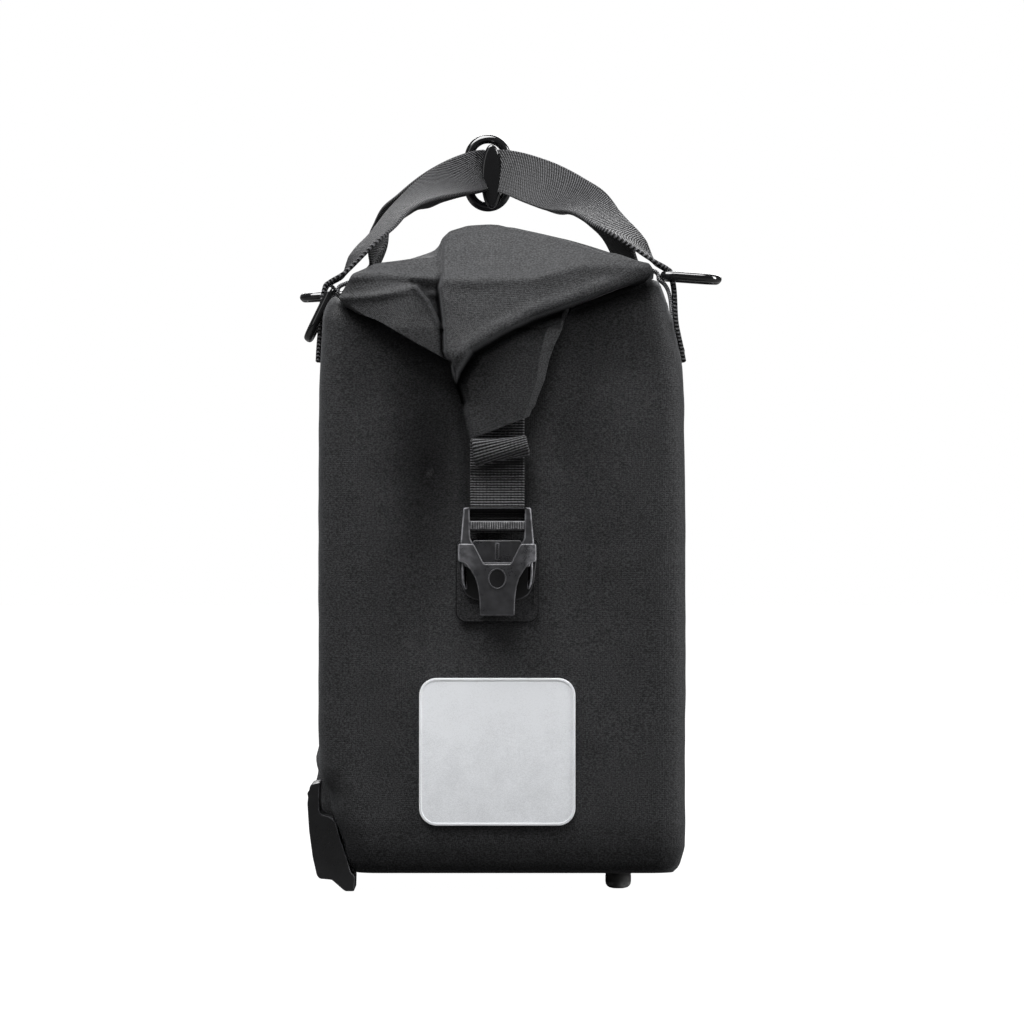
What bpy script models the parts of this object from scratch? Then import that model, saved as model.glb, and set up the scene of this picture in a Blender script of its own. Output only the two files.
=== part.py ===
"""Roll-top pannier briefcase, in metres, +Z up.

The bag's length runs along Y and its depth along X. The rear, which hangs on a rack, faces -X. The origin
lies on the floor, midway between the reach of the rings and midway along the length.
"""
import math

import bmesh
import bpy
import numpy as np
from mathutils import Vector

# Clearance that meshes which meet keep between them
GAP = 0.0003

# The cloth bag
BAG_LENGTH = 0.400
BAG_DEPTH = 0.170
ROOF_HEIGHT = 0.270
CLOTH = 0.002
EDGE_RADIUS = 0.010
CORNER_RADIUS = 0.011
MOUTH_LENGTH = 0.340
MOUTH_WIDTH = 0.012
BELLY = 0.003
BELLY_REACH = 0.100
DENT = 0.003
DENT_RADIUS = 0.026

# The rolled top and its folded ends
CROWN_HEIGHT = 0.038
FLAP_DROP = 0.0615
FLAP_SLANT = 0.011
FLAP_THICKNESS = 0.0055
FOLD_STEP = 0.0035
FOLD_SOFTNESS = 0.003

# Webbing
STRAP_WIDTH = 0.025
STRAP_THICKNESS = 0.002
TAB_WIDTH = 0.022
TAB_THICKNESS = 0.0012
STRAP_X = -0.002

# Side-release buckle
BUCKLE_WIDTH = 0.0364
BUCKLE_BOTTOM = 0.1275
SOCKET_LENGTH = 0.0332
SOCKET_THICKNESS = 0.009
PLUG_LENGTH = 0.0166
PLUG_THICKNESS = 0.007
TONGUE_THICKNESS = 0.0045
PRONG_WIDTH = 0.0024
BAR_SIZE = 0.0030
PATCH_THICKNESS = 0.0012
PATCH_WIDTH = 0.039
PATCH_HEIGHT = 0.040

# Reflector
REFLECTOR_WIDTH = 0.072
REFLECTOR_HEIGHT = 0.068
REFLECTOR_THICKNESS = 0.0012
REFLECTOR_RADIUS = 0.008
REFLECTOR_Z = 0.0648

# Rack hooks and feet
HOOK_HEIGHT = 0.0502
HOOK_OVERHANG = 0.0052
HOOK_DEPTH = 0.0222
HOOK_WIDTH = 0.040
HOOK_SLOT = 0.0050
HOOK_INSET = 0.004
FOOT_DIAMETER = 0.012
FOOT_HEIGHT = 0.0082
FOOT_X = 0.0543
FOOT_INSET = 0.035

# Rings and handles
WIRE = 0.004
RING_LENGTH = 0.025
RING_SIDE_PLAY = 0.0008
BAR_PLAY = 0.0004
RING_INSET = 0.070
LINK_WIRE = 0.0045
LINK_WIDTH = 0.0230
LINK_HEIGHT = 0.0380
LINK_X = -0.007
HANDLE_ROOM = 0.035
HANDLE_SPACING = 0.0026
TAIL_LENGTH = 0.026
LEAD_IN = 0.006
LEAD_ANGLE = math.radians(35.0)

HALF_LENGTH = BAG_LENGTH / 2
HALF_DEPTH = BAG_DEPTH / 2
BASE_HEIGHT = FOOT_HEIGHT + GAP
SHOULDER_HEIGHT = ROOF_HEIGHT - EDGE_RADIUS
HANDLE_HEIGHT = ROOF_HEIGHT + CROWN_HEIGHT + HANDLE_ROOM
RING_Y = HALF_LENGTH - RING_INSET
STRAP_LIFT = STRAP_THICKNESS + GAP
BUCKLE_OUT = 2 * GAP + PATCH_THICKNESS + SOCKET_THICKNESS / 2
PLUG_TOP = BUCKLE_BOTTOM + SOCKET_LENGTH + PLUG_LENGTH
BAR_TURN = BAR_SIZE / math.sqrt(2) + GAP + STRAP_THICKNESS / 2

# Lower outline of the bag's end: up from the base to the hook's height, rear and front as shares of the
# half depth, ends drawn in by a share of the edge radius
LOWER_ROWS = (
    # up, rear, front, drawn in
    (0.000, 0.729, 0.847, 1.20),
    (0.067, 0.824, 0.924, 0.50),
    (0.276, 0.852, 0.988, 0.10),
    (0.552, 0.896, 1.000, 0.00),
    (0.660, 0.927, 1.000, 0.00),
    (0.923, 0.932, 1.000, 0.00),
    (1.079, 0.988, 1.000, 0.00),
)
SLOT_FLOOR = 0.660

# Upper outline: up as a share of the shoulder's height
UPPER_ROWS = (
    # up, rear, front
    (0.300, 0.998, 1.000),
    (0.500, 1.000, 1.000),
    (0.730, 0.996, 1.000),
    (0.904, 0.990, 0.985),
    (1.000, 0.975, 0.950),
)

# Soft hollows of the end panels: across as a share of the half depth, up as a share of the roof height
DENT_ROWS = (
    # across, up, depth
    (-0.58, 0.64, 1.0),
    (0.58, 0.64, 1.0),
    (-0.50, 0.42, 0.5),
    (0.52, 0.40, 0.5),
)

# Section of the rolled top where it meets the ends, and halfway along: across as a share of the half
# depth, rise as a share of the crown's height
CROWN_ROWS = (
    # end across, end rise, middle across, middle rise
    (-0.868, 0.080, -0.62, 0.10),
    (-0.776, 0.390, -0.62, 0.36),
    (-0.660, 0.520, -0.59, 0.56),
    (-0.480, 0.560, -0.53, 0.74),
    (-0.345, 0.585, -0.43, 0.88),
    (-0.318, 0.800, -0.31, 0.95),
    (-0.220, 0.940, -0.18, 0.98),
    (-0.020, 0.985, 0.00, 0.99),
    (0.165, 1.000, 0.16, 0.97),
    (0.320, 0.870, 0.31, 0.92),
    (0.530, 0.680, 0.45, 0.82),
    (0.690, 0.540, 0.55, 0.66),
    (0.770, 0.450, 0.60, 0.46),
    (0.800, 0.120, 0.62, 0.14),
)

# Outline of the folded end: down from the shoulder as a share of the flap's reach below it, left and
# right edge as shares of the half depth
FLAP_ROWS = (
    # down, left, right
    (1.00, -0.180, 0.150),
    (0.78, -0.205, 0.165),
    (0.62, -0.225, 0.195),
    (0.46, -0.270, 0.235),
    (0.30, -0.345, 0.255),
    (0.16, -0.500, 0.285),
    (0.00, -0.680, 0.330),
)

# Edges of the upper ply on the folded end: height as a share of the roof height, left edge and crease as
# shares of the half depth
PLY_ROWS = (
    # up, left edge, crease
    (0.845, -0.220, -0.220),
    (0.890, -0.285, -0.208),
    (0.931, -0.320, -0.106),
    (0.962, -0.340, 0.068),
    (0.997, -0.340, 0.339),
    (1.035, -0.330, 0.647),
    (1.063, -0.320, 0.800),
)

# Outer outline of the rack hook: across as a share of its depth from the foot, up as a share of its height
HOOK_ROWS = (
    # across, up
    (0.000, 0.000),
    (0.248, 0.000),
    (0.420, 0.070),
    (0.477, 0.116),
    (0.766, 0.124),
    (0.806, 0.180),
    (0.892, 0.380),
    (0.955, 0.592),
    (1.000, 0.820),
    (0.990, 0.920),
    (0.920, 1.000),
    (0.760, 1.000),
)

# Outlines of the buckle socket's rear plate and of its front stem: down as a share of its length, half
# width as a share of the buckle's
SOCKET_ROWS = (
    # down, half width
    (0.00, 0.96),
    (0.04, 1.00),
    (0.24, 1.00),
    (0.62, 0.90),
    (0.80, 0.76),
    (0.95, 0.60),
    (1.00, 0.48),
)
STEM_ROWS = (
    # down, half width
    (0.26, 1.10),
    (0.265, 0.92),
    (0.33, 0.74),
    (0.46, 0.60),
    (0.62, 0.52),
    (0.90, 0.48),
    (0.905, 1.10),
)
NOTCH_TOP = 0.60
NOTCH_BOTTOM = 0.34
NOTCH_DEPTH = 0.26
CAVITY_DEPTH = 0.68
PRONG_REACH = 0.61
PRONG_OUTER = 0.87
PLUG_WIDTH = 0.86

# Turned-up end of the side strap: height above the plug as a share of the way to the flap's end, and
# distance out from the lower ply as a share of the strap's width
KEEPER_ROWS = (
    # up, out
    (0.34, 0.00),
    (0.50, 0.00),
    (0.64, 0.06),
    (0.80, 0.22),
    (1.00, 0.33),
    (1.16, 0.37),
    (1.28, 0.33),
)

# One handle from the link ring to a corner: along, out and fall as shares of the way, and how far the
# webbing has turned from standing on edge, in degrees, on the rear and the front handle
HANDLE_ROWS = (
    # along, out, fall, rear turn, front turn
    (0.00, 0.00, 0.00, 0.0, 0.0),
    (0.08, 0.06, 0.02, 8.0, 3.0),
    (0.25, 0.28, 0.15, 46.0, 18.0),
    (0.45, 0.49, 0.33, 70.0, 30.0),
    (0.67, 0.635, 0.48, 84.0, 50.0),
    (0.86, 0.76, 0.65, 90.0, 70.0),
    (0.97, 0.88, 0.80, 90.0, 90.0),
)

# The four corners: how far the ring's bar lies in from the bag's side and above its roof, and how far the
# ring has dropped below level, in degrees
CORNERS = (
    # name, side, end, bar inset, bar rise, droop
    ("rear_near", -1, -1, 0.0050, 0.0100, 64.0),
    ("front_near", 1, -1, 0.0085, 0.0165, 10.0),
    ("rear_far", -1, 1, 0.0085, 0.0165, 10.0),
    ("front_far", 1, 1, 0.0050, 0.0100, 64.0),
)


def make_material(name, colour, roughness, metallic=0.0):
    """A Principled material with one colour."""
    material = bpy.data.materials.new(name)
    material.use_nodes = True
    shader = material.node_tree.nodes["Principled BSDF"]
    shader.inputs["Base Color"].default_value = (*colour, 1.0)
    shader.inputs["Roughness"].default_value = roughness
    shader.inputs["Metallic"].default_value = metallic
    return material


def add_object(name, mesh_edit, material, sharp_angle=35.0):
    """Turn a bmesh into a named object with outward faces and one material."""
    bmesh.ops.recalc_face_normals(mesh_edit, faces=mesh_edit.faces)
    mesh = bpy.data.meshes.new(name)
    mesh_edit.to_mesh(mesh)
    mesh_edit.free()
    mesh.shade_smooth()
    mesh.set_sharp_from_angle(angle=math.radians(sharp_angle))
    mesh.materials.append(material)
    built = bpy.data.objects.new(name, mesh)
    bpy.context.scene.collection.objects.link(built)
    return built


def loft(rings, closed_path=False):
    """Join rings of points, each with as many points as the last, into one closed body."""
    mesh_edit = bmesh.new()
    loops = [[mesh_edit.verts.new(point) for point in ring] for ring in rings]
    pairs = list(zip(loops, loops[1:]))
    if closed_path:
        pairs.append((loops[-1], loops[0]))
    for lower, upper in pairs:
        count = len(lower)
        for i in range(count):
            j = (i + 1) % count
            mesh_edit.faces.new((lower[i], lower[j], upper[j], upper[i]))
    if not closed_path:
        mesh_edit.faces.new(list(reversed(loops[0])))
        mesh_edit.faces.new(loops[-1])
    return mesh_edit


def prism(outline, direction):
    """Extrude a flat outline along a direction."""
    return loft([outline, [point + direction for point in outline]])


def smooth_path(points, steps):
    """Centripetal Catmull-Rom curve through the points, with steps samples on each stretch."""
    padded = [2 * points[0] - points[1], *points, 2 * points[-1] - points[-2]]
    curve = []
    for quad in zip(padded, padded[1:], padded[2:], padded[3:]):
        knots = [0.0]
        for before, after in zip(quad, quad[1:]):
            knots.append(knots[-1] + math.sqrt((after - before).length))
        for k in range(steps):
            t = knots[1] + (knots[2] - knots[1]) * k / steps
            level = list(quad)
            for reach in (1, 2):
                spans = zip(level, level[1:], knots, knots[reach:])
                level = [(p * (end - t) + q * (t - start)) / (end - start) for p, q, start, end in spans]
            first, second = level
            curve.append((first * (knots[2] - t) + second * (t - knots[1])) / (knots[2] - knots[1]))
    curve.append(points[-1].copy())
    return curve


def tangents(path):
    """Unit direction of a path at each of its points."""
    last = len(path) - 1
    return [(path[min(i + 1, last)] - path[max(i - 1, 0)]).normalized() for i in range(len(path))]


def ribbon(path, widths, width, thickness):
    """Sweep a flat strap along a path; widths holds the direction of its width at each point."""
    rings = []
    for centre, along, across in zip(path, tangents(path), widths):
        side = (across - along * across.dot(along)).normalized()
        normal = along.cross(side)
        half_side = side * width / 2
        half_normal = normal * thickness / 2
        rings.append(
            [
                centre - half_side - half_normal,
                centre + half_side - half_normal,
                centre + half_side + half_normal,
                centre - half_side + half_normal,
            ]
        )
    return loft(rings)


def wire_loop(path, axis, diameter, sides):
    """Bend round wire along a closed flat path whose plane is square to axis."""
    rings = []
    count = len(path)
    for i, centre in enumerate(path):
        along = (path[(i + 1) % count] - path[i - 1]).normalized()
        out = along.cross(axis)
        ring = []
        for k in range(sides):
            angle = 2 * math.pi * k / sides
            ring.append(centre + (out * math.cos(angle) + axis * math.sin(angle)) * diameter / 2)
        rings.append(ring)
    return loft(rings, closed_path=True)


def rounded_outline(width, height, radii, steps):
    """Rounded rectangle as (across, up) pairs about its centre; radii run lower right, upper right,
    upper left, lower left."""
    points = []
    for corner, radius in enumerate(radii):
        across = 1 if corner in (0, 1) else -1
        up = 1 if corner in (1, 2) else -1
        for k in range(steps + 1):
            angle = math.radians(90 * (corner - 1 + k / steps))
            points.append(
                (
                    across * (width / 2 - radius) + radius * math.cos(angle),
                    up * (height / 2 - radius) + radius * math.sin(angle),
                )
            )
    return points


def cut(target, name, mesh_edit, material, operation="DIFFERENCE"):
    """Give target a Boolean with a hidden tool body."""
    tool = add_object(name, mesh_edit, material)
    tool.hide_render = True
    tool.display_type = "WIRE"
    boolean = target.modifiers.new(name, "BOOLEAN")
    boolean.operation = operation
    boolean.object = tool


def body_rows():
    """Outline of the bag by height: height, rear reach, front reach and half length."""
    rows = []
    for up, rear, front, drawn_in in LOWER_ROWS:
        height = BASE_HEIGHT + up * (HOOK_HEIGHT - BASE_HEIGHT)
        rows.append((height, rear * HALF_DEPTH, front * HALF_DEPTH, HALF_LENGTH - drawn_in * EDGE_RADIUS))
    for up, rear, front in UPPER_ROWS:
        rows.append((up * SHOULDER_HEIGHT, rear * HALF_DEPTH, front * HALF_DEPTH, HALF_LENGTH))
    _, rear, front, half_length = rows[-1]
    for degrees in (30.0, 60.0, 90.0):
        drawn_in = EDGE_RADIUS * (1 - math.cos(math.radians(degrees)))
        height = SHOULDER_HEIGHT + EDGE_RADIUS * math.sin(math.radians(degrees))
        rows.append((height, rear - drawn_in, front - drawn_in, half_length - drawn_in))
    return rows


def panel_reach(side, height):
    """Distance from the middle plane to the bag's rear (side -1) or front (side 1) panel at a height."""
    rows = body_rows()
    column = 1 if side < 0 else 2
    return float(np.interp(height, [row[0] for row in rows], [row[column] for row in rows]))


def body_loop(height, rear, front, half_length, radius):
    """Rounded rectangle seen from above, with points along its sides to carry the soft shape."""
    centres = (
        (front - radius, -half_length + radius),
        (front - radius, half_length - radius),
        (-rear + radius, half_length - radius),
        (-rear + radius, -half_length + radius),
    )
    side_steps = (8, 10, 8, 10)
    loop = []
    for corner, (x, y) in enumerate(centres):
        arc = []
        for k in range(5):
            angle = math.radians(90 * (corner - 1) + 22.5 * k)
            arc.append(Vector((x + radius * math.cos(angle), y + radius * math.sin(angle), height)))
        if loop:
            steps = side_steps[corner]
            start = loop[-1]
            loop.extend(start.lerp(arc[0], k / steps) for k in range(1, steps))
        loop.extend(arc)
    steps = side_steps[0]
    loop.extend(loop[-1].lerp(loop[0], k / steps) for k in range(1, steps))
    return loop


def soften(point):
    """Belly of the long panels and soft hollows of the end panels."""
    x, y, z = point
    belly = BELLY * max(0.0, 1 - (y / BELLY_REACH) ** 2) ** 2
    rise = min(1.0, max(0.0, (z - HOOK_HEIGHT) / (SHOULDER_HEIGHT - HOOK_HEIGHT)))
    x_moved = x + belly * math.sin(math.pi * rise) * x / HALF_DEPTH
    hollow = 0.0
    for across, up, depth in DENT_ROWS:
        distance = math.hypot(x - across * HALF_DEPTH, z - up * ROOF_HEIGHT)
        hollow += depth * math.exp(-0.5 * (distance / DENT_RADIUS) ** 2)
    end_share = min(1.0, abs(y) / HALF_LENGTH) ** 8
    return Vector((x_moved, y - math.copysign(DENT * hollow * end_share, y), z))


def build_bag_body(material):
    """Cloth shell: outer skin up to the mouth, then down the inside to the floor of the bag."""
    outer = [body_loop(z, rear, front, half, CORNER_RADIUS) for z, rear, front, half in body_rows()]
    inner = []
    for z, rear, front, half in reversed(body_rows()):
        height = min(max(z, BASE_HEIGHT + CLOTH), ROOF_HEIGHT - CLOTH)
        inner.append(body_loop(height, rear - CLOTH, front - CLOTH, half - CLOTH, CORNER_RADIUS - CLOTH))
    mouth_radius = MOUTH_WIDTH / 3
    mouth = [
        body_loop(z, MOUTH_WIDTH / 2, MOUTH_WIDTH / 2, MOUTH_LENGTH / 2, mouth_radius)
        for z in (ROOF_HEIGHT, ROOF_HEIGHT - CLOTH)
    ]
    loops = [*outer, *mouth, *inner]
    return add_object("bag_body", loft([[soften(p) for p in loop] for loop in loops]), material, 50.0)


def ply_relief(x, z):
    """Height of the upper ply above the lower one on the folded end, from 0 to 1."""
    heights = [row[0] * ROOF_HEIGHT for row in PLY_ROWS]
    left = np.interp(z, heights, [row[1] * HALF_DEPTH for row in PLY_ROWS])
    crease = np.interp(z, heights, [row[2] * HALF_DEPTH for row in PLY_ROWS])
    from_left = min(1.0, max(0.0, (x - left) / FOLD_SOFTNESS + 0.5))
    from_crease = min(1.0, max(0.0, (crease - x) / FOLD_SOFTNESS + 0.5))
    return from_left * from_crease


def crown_section(middle_share, count):
    """Rolled top's section as (across, rise) pairs; middle_share is 0 at the ends and 1 halfway."""
    places = np.linspace(0, len(CROWN_ROWS) - 1, count)
    columns = [np.interp(places, range(len(CROWN_ROWS)), column) for column in zip(*CROWN_ROWS)]
    across = (columns[0] * (1 - middle_share) + columns[2] * middle_share) * HALF_DEPTH
    rise = (columns[1] * (1 - middle_share) + columns[3] * middle_share) * CROWN_HEIGHT
    return list(zip(across, rise))


def flap_section(row, count):
    """Folded end's section as (across, rise) pairs, with the step of the upper ply."""
    down, left, right = row
    z = SHOULDER_HEIGHT - down * (FLAP_DROP - EDGE_RADIUS)
    pairs = []
    for share in np.linspace(0, 1, count):
        x = (left + (right - left) * share) * HALF_DEPTH
        edge = min(1.0, 6 * min(share, 1 - share) + 0.35)
        pairs.append((x, FLAP_THICKNESS * edge + FOLD_STEP * ply_relief(x, z)))
    return pairs


def build_roll_closure(material):
    """Sweep the rolled top's section up one end, along the bag and down the other end."""
    count = 27
    half_top = HALF_LENGTH - EDGE_RADIUS
    half = []
    for row in FLAP_ROWS:
        z = SHOULDER_HEIGHT - row[0] * (FLAP_DROP - EDGE_RADIUS)
        lift = GAP + STRAP_LIFT * min(1.0, row[0] / 0.16)
        half.append((flap_section(row, count), z, HALF_LENGTH + lift, 0.0, row[0] == 1.0))
    flap_top = flap_section(FLAP_ROWS[-1], count)
    crown_end = crown_section(0.0, count)
    for degrees in (22.5, 45.0, 67.5, 90.0):
        blend = math.sin(math.radians(degrees))
        section = [
            (a[0] * (1 - blend) + b[0] * blend, a[1] * (1 - blend) + b[1] * blend)
            for a, b in zip(flap_top, crown_end)
        ]
        angle = math.radians(degrees)
        seat = EDGE_RADIUS + GAP
        y = half_top + seat * math.cos(angle)
        half.append((section, SHOULDER_HEIGHT + seat * math.sin(angle), y, degrees, False))
    for share in (0.90, 0.76, 0.58, 0.38, 0.19):
        middle_share = min(1.0, (1 - share) / 0.42)
        section = crown_section(middle_share, count)
        half.append((section, ROOF_HEIGHT + GAP, half_top * share, 90.0, False))
    rings = []
    for end, stations in ((-1, half), (1, list(reversed(half)))):
        for section, z, y, degrees, slanted in stations:
            out = math.cos(math.radians(degrees))
            up = math.sin(math.radians(degrees))
            outer = []
            inner = []
            for x, rise in section:
                share = (x - section[0][0]) / (section[-1][0] - section[0][0])
                foot = FLAP_SLANT * share if slanted else 0.0
                outer.append(Vector((x, end * (y + rise * out), z + rise * up + foot)))
                inner.append(Vector((x, end * y, z + foot)))
            rings.append([*outer, *reversed(inner)])
    return add_object("roll_closure", loft(rings), material, 60.0)


def build_side_strap(name, end, material):
    """Webbing from under the flap, round the plug's bar and back up to its turned-up end."""
    lower_out = GAP + STRAP_THICKNESS / 2
    upper_out = lower_out + STRAP_LIFT
    bar_z = PLUG_TOP - BAR_SIZE / 2
    flap_end = ROOF_HEIGHT - FLAP_DROP
    places = [(lower_out, flap_end + 0.6 * STRAP_WIDTH), (lower_out, flap_end)]
    places.append((lower_out, PLUG_TOP + STRAP_WIDTH / 2))
    places.append((BUCKLE_OUT - BAR_TURN, bar_z + BAR_SIZE))
    for degrees in (180, 225, 270, 315, 360):
        angle = math.radians(degrees)
        places.append((BUCKLE_OUT + BAR_TURN * math.cos(angle), bar_z + BAR_TURN * math.sin(angle)))
    places.append((BUCKLE_OUT + BAR_TURN, PLUG_TOP + BAR_SIZE / 2))
    for up, out in KEEPER_ROWS:
        places.append((upper_out + out * STRAP_WIDTH, PLUG_TOP + up * (flap_end - PLUG_TOP)))
    points = [Vector((STRAP_X, end * (HALF_LENGTH + out), z)) for out, z in places]
    path = smooth_path(points, 3)
    widths = [Vector((1, 0, 0))] * len(path)
    return add_object(name, ribbon(path, widths, STRAP_WIDTH, STRAP_THICKNESS), material)


def mirrored(rows):
    """Close an outline from its right half, given as (half width, height) from the top down."""
    return rows + [(-half, z) for half, z in reversed(rows)]


def end_prism(outline, end, thickness):
    """Extrude an outline of (across, height) pairs through the buckle's middle plane."""
    y = HALF_LENGTH + BUCKLE_OUT
    points = [Vector((STRAP_X + x, end * (y - thickness / 2), z)) for x, z in outline]
    return prism(points, Vector((0, end * thickness, 0)))


def build_socket(name, end, material):
    """Buckle socket: tapering shell with side windows, a notch and a hollow that takes the prongs."""
    top = BUCKLE_BOTTOM + SOCKET_LENGTH
    half = BUCKLE_WIDTH / 2
    right = [(NOTCH_BOTTOM * half, top - NOTCH_DEPTH * SOCKET_LENGTH), (NOTCH_TOP * half, top)]
    right += [(share * half, top - down * SOCKET_LENGTH) for down, share in SOCKET_ROWS]
    socket = add_object(name, end_prism(mirrored(right), end, SOCKET_THICKNESS), material)
    hollow_half = PRONG_OUTER * half + GAP
    hollow_bottom = top - CAVITY_DEPTH * SOCKET_LENGTH
    above = top + PLUG_LENGTH
    hollow = [(hollow_half, above), (hollow_half, hollow_bottom)]
    hollow_edit = end_prism(mirrored(hollow), end, TONGUE_THICKNESS + 2 * GAP)
    cut(socket, name + "_hollow", hollow_edit, material)
    window = [(share * half, top - down * SOCKET_LENGTH) for down, share in STEM_ROWS]
    y = end * (HALF_LENGTH + BUCKLE_OUT - TONGUE_THICKNESS / 2)
    for side, side_name in ((-1, "rear"), (1, "front")):
        points = [Vector((STRAP_X + side * x, y, z)) for x, z in window]
        window_edit = prism(points, Vector((0, end * SOCKET_THICKNESS, 0)))
        cut(socket, f"{name}_window_{side_name}", window_edit, material)
    return socket


def build_plug(name, end, material):
    """Buckle plug: frame with a bar for the webbing, a middle tongue and two side prongs."""
    half = BUCKLE_WIDTH / 2
    top = PLUG_TOP
    seam = BUCKLE_BOTTOM + SOCKET_LENGTH + GAP
    body = [(0.80 * half, top), (PLUG_WIDTH * half, top - 0.10 * PLUG_LENGTH), (PLUG_WIDTH * half, seam)]
    plug = add_object(name, end_prism(mirrored(body), end, PLUG_THICKNESS), material)
    window_half = STRAP_WIDTH / 2 + 2 * GAP
    window_top = top - BAR_SIZE
    window_bottom = top - BAR_SIZE / 2 - BAR_TURN - STRAP_THICKNESS / 2 - 2 * GAP
    window = [(window_half, window_top), (window_half, window_bottom)]
    cut(plug, name + "_window", end_prism(mirrored(window), end, 2 * PLUG_THICKNESS), material)
    for sign, side_name in ((-1, "back"), (1, "front")):
        face = BUCKLE_OUT + sign * BAR_SIZE / 2
        depth = PLUG_THICKNESS
        outline = [(window_half, top + BAR_SIZE), (window_half, window_bottom)]
        start = end * (HALF_LENGTH + face)
        points = [Vector((STRAP_X + x, start, z)) for x, z in mirrored(outline)]
        cut(plug, f"{name}_relief_{side_name}", prism(points, Vector((0, end * sign * depth, 0))), material)
    prong_end = seam - PRONG_REACH * SOCKET_LENGTH
    outer = PRONG_OUTER * half
    tongue = 0.26 * half
    root = seam + 0.35 * PLUG_LENGTH
    comb = [
        (outer, root),
        (outer, prong_end),
        (outer - PRONG_WIDTH, prong_end),
        (outer - PRONG_WIDTH, seam - 2 * GAP),
        (tongue, seam - 2 * GAP),
        (0.7 * tongue, seam - 0.9 * (seam - prong_end)),
    ]
    inset = [(min(x, PLUG_WIDTH * half - GAP) if z == root else x, z) for x, z in comb]
    cut(plug, name + "_comb", end_prism(mirrored(inset), end, TONGUE_THICKNESS), material, "UNION")
    return plug


def end_plate(name, end, outline, centre_z, thickness, material):
    """Thin plate sewn on an end panel, from (across, up) pairs about its centre."""
    y = end * (HALF_LENGTH + GAP)
    points = [Vector((STRAP_X + x, y, centre_z + up)) for x, up in outline]
    return add_object(name, prism(points, Vector((0, end * thickness, 0))), material)


def build_hook(name, end, material):
    """Rack hook: J-shaped section that follows the bag's lower rear edge, extruded along the bag."""
    reach = HALF_DEPTH + HOOK_OVERHANG
    outline = [(-reach + (1 - across) * HOOK_DEPTH, up * HOOK_HEIGHT) for across, up in HOOK_ROWS[:-1]]
    slot_floor = BASE_HEIGHT + SLOT_FLOOR * (HOOK_HEIGHT - BASE_HEIGHT)
    lip_inner = -panel_reach(-1, slot_floor) - GAP - HOOK_SLOT
    outline.append((lip_inner, HOOK_HEIGHT))
    outline.append((lip_inner, slot_floor + HOOK_SLOT / 3))
    outline.append((lip_inner + HOOK_SLOT / 3, slot_floor))
    for up, _, _, _ in reversed(LOWER_ROWS[1:5]):
        height = BASE_HEIGHT + up * (HOOK_HEIGHT - BASE_HEIGHT)
        outline.append((-panel_reach(-1, height) - 2 * GAP, height))
    outline.append((-reach + HOOK_DEPTH, BASE_HEIGHT - GAP))
    start = end * (HALF_LENGTH - HOOK_INSET)
    points = [Vector((x, start, z)) for x, z in outline]
    return add_object(name, prism(points, Vector((0, -end * HOOK_WIDTH, 0))), material)


def build_foot(name, end, material):
    """Rubber foot: a peg with a rounded lower edge."""
    radius = FOOT_DIAMETER / 2
    profile = [(0.62 * radius, 0.0), (0.88 * radius, 0.07 * FOOT_HEIGHT), (radius, 0.26 * FOOT_HEIGHT)]
    profile.append((radius, FOOT_HEIGHT))
    rings = []
    for ring_radius, z in profile:
        ring = []
        for k in range(24):
            angle = 2 * math.pi * k / 24
            x = FOOT_X + ring_radius * math.cos(angle)
            y = end * (HALF_LENGTH - FOOT_INSET) + ring_radius * math.sin(angle)
            ring.append(Vector((x, y, z)))
        rings.append(ring)
    return add_object(name, loft(rings), material)


def bar_place(corner):
    """How far out and how high the bar of a corner's ring lies."""
    _, _, _, inset, rise, _ = corner
    return HALF_DEPTH - inset, ROOF_HEIGHT + rise


def tail_places(side):
    """Heights where webbing lies on the long panel, and the panel's reach there."""
    heights = [SHOULDER_HEIGHT + 0.2 * EDGE_RADIUS, SHOULDER_HEIGHT - 0.5 * TAIL_LENGTH]
    heights.append(SHOULDER_HEIGHT - TAIL_LENGTH)
    return [(panel_reach(side, height), height) for height in heights]


def corner_strap(corner):
    """Handle webbing over a ring's bar and down the panel, as (out, up) pairs."""
    bar_out, bar_up = bar_place(corner)
    radius = WIRE / 2 + BAR_PLAY + STRAP_THICKNESS / 2
    places = [(bar_out - LEAD_IN * math.cos(LEAD_ANGLE), bar_up + radius + LEAD_IN * math.sin(LEAD_ANGLE))]
    for degrees in (70, 35, 0):
        angle = math.radians(degrees)
        places.append((bar_out + radius * math.cos(angle), bar_up + radius * math.sin(angle)))
    lift = 2 * GAP + TAB_THICKNESS + STRAP_THICKNESS / 2
    places.extend((reach + lift, height) for reach, height in tail_places(corner[1]))
    return places


def corner_tab(corner):
    """Inner ply from under the handle, round the inside of the bar and down the panel."""
    bar_out, bar_up = bar_place(corner)
    radius = WIRE / 2 + BAR_PLAY + TAB_THICKNESS / 2
    places = [(bar_out - 2.6 * radius, bar_up + 1.2 * radius)]
    for degrees in (165, 210, 255):
        angle = math.radians(degrees)
        places.append((bar_out + radius * math.cos(angle), bar_up + radius * math.sin(angle)))
    lift = GAP + TAB_THICKNESS / 2
    places.extend((reach + lift, height) for reach, height in tail_places(corner[1]))
    return places


def build_tab(corner, material):
    """One anchor tab."""
    name, side, end = corner[:3]
    points = [Vector((side * out, end * RING_Y, up)) for out, up in corner_tab(corner)]
    path = smooth_path(points, 3)
    widths = [Vector((0, 1, 0))] * len(path)
    return add_object("anchor_tab_" + name, ribbon(path, widths, TAB_WIDTH, TAB_THICKNESS), material)


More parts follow.
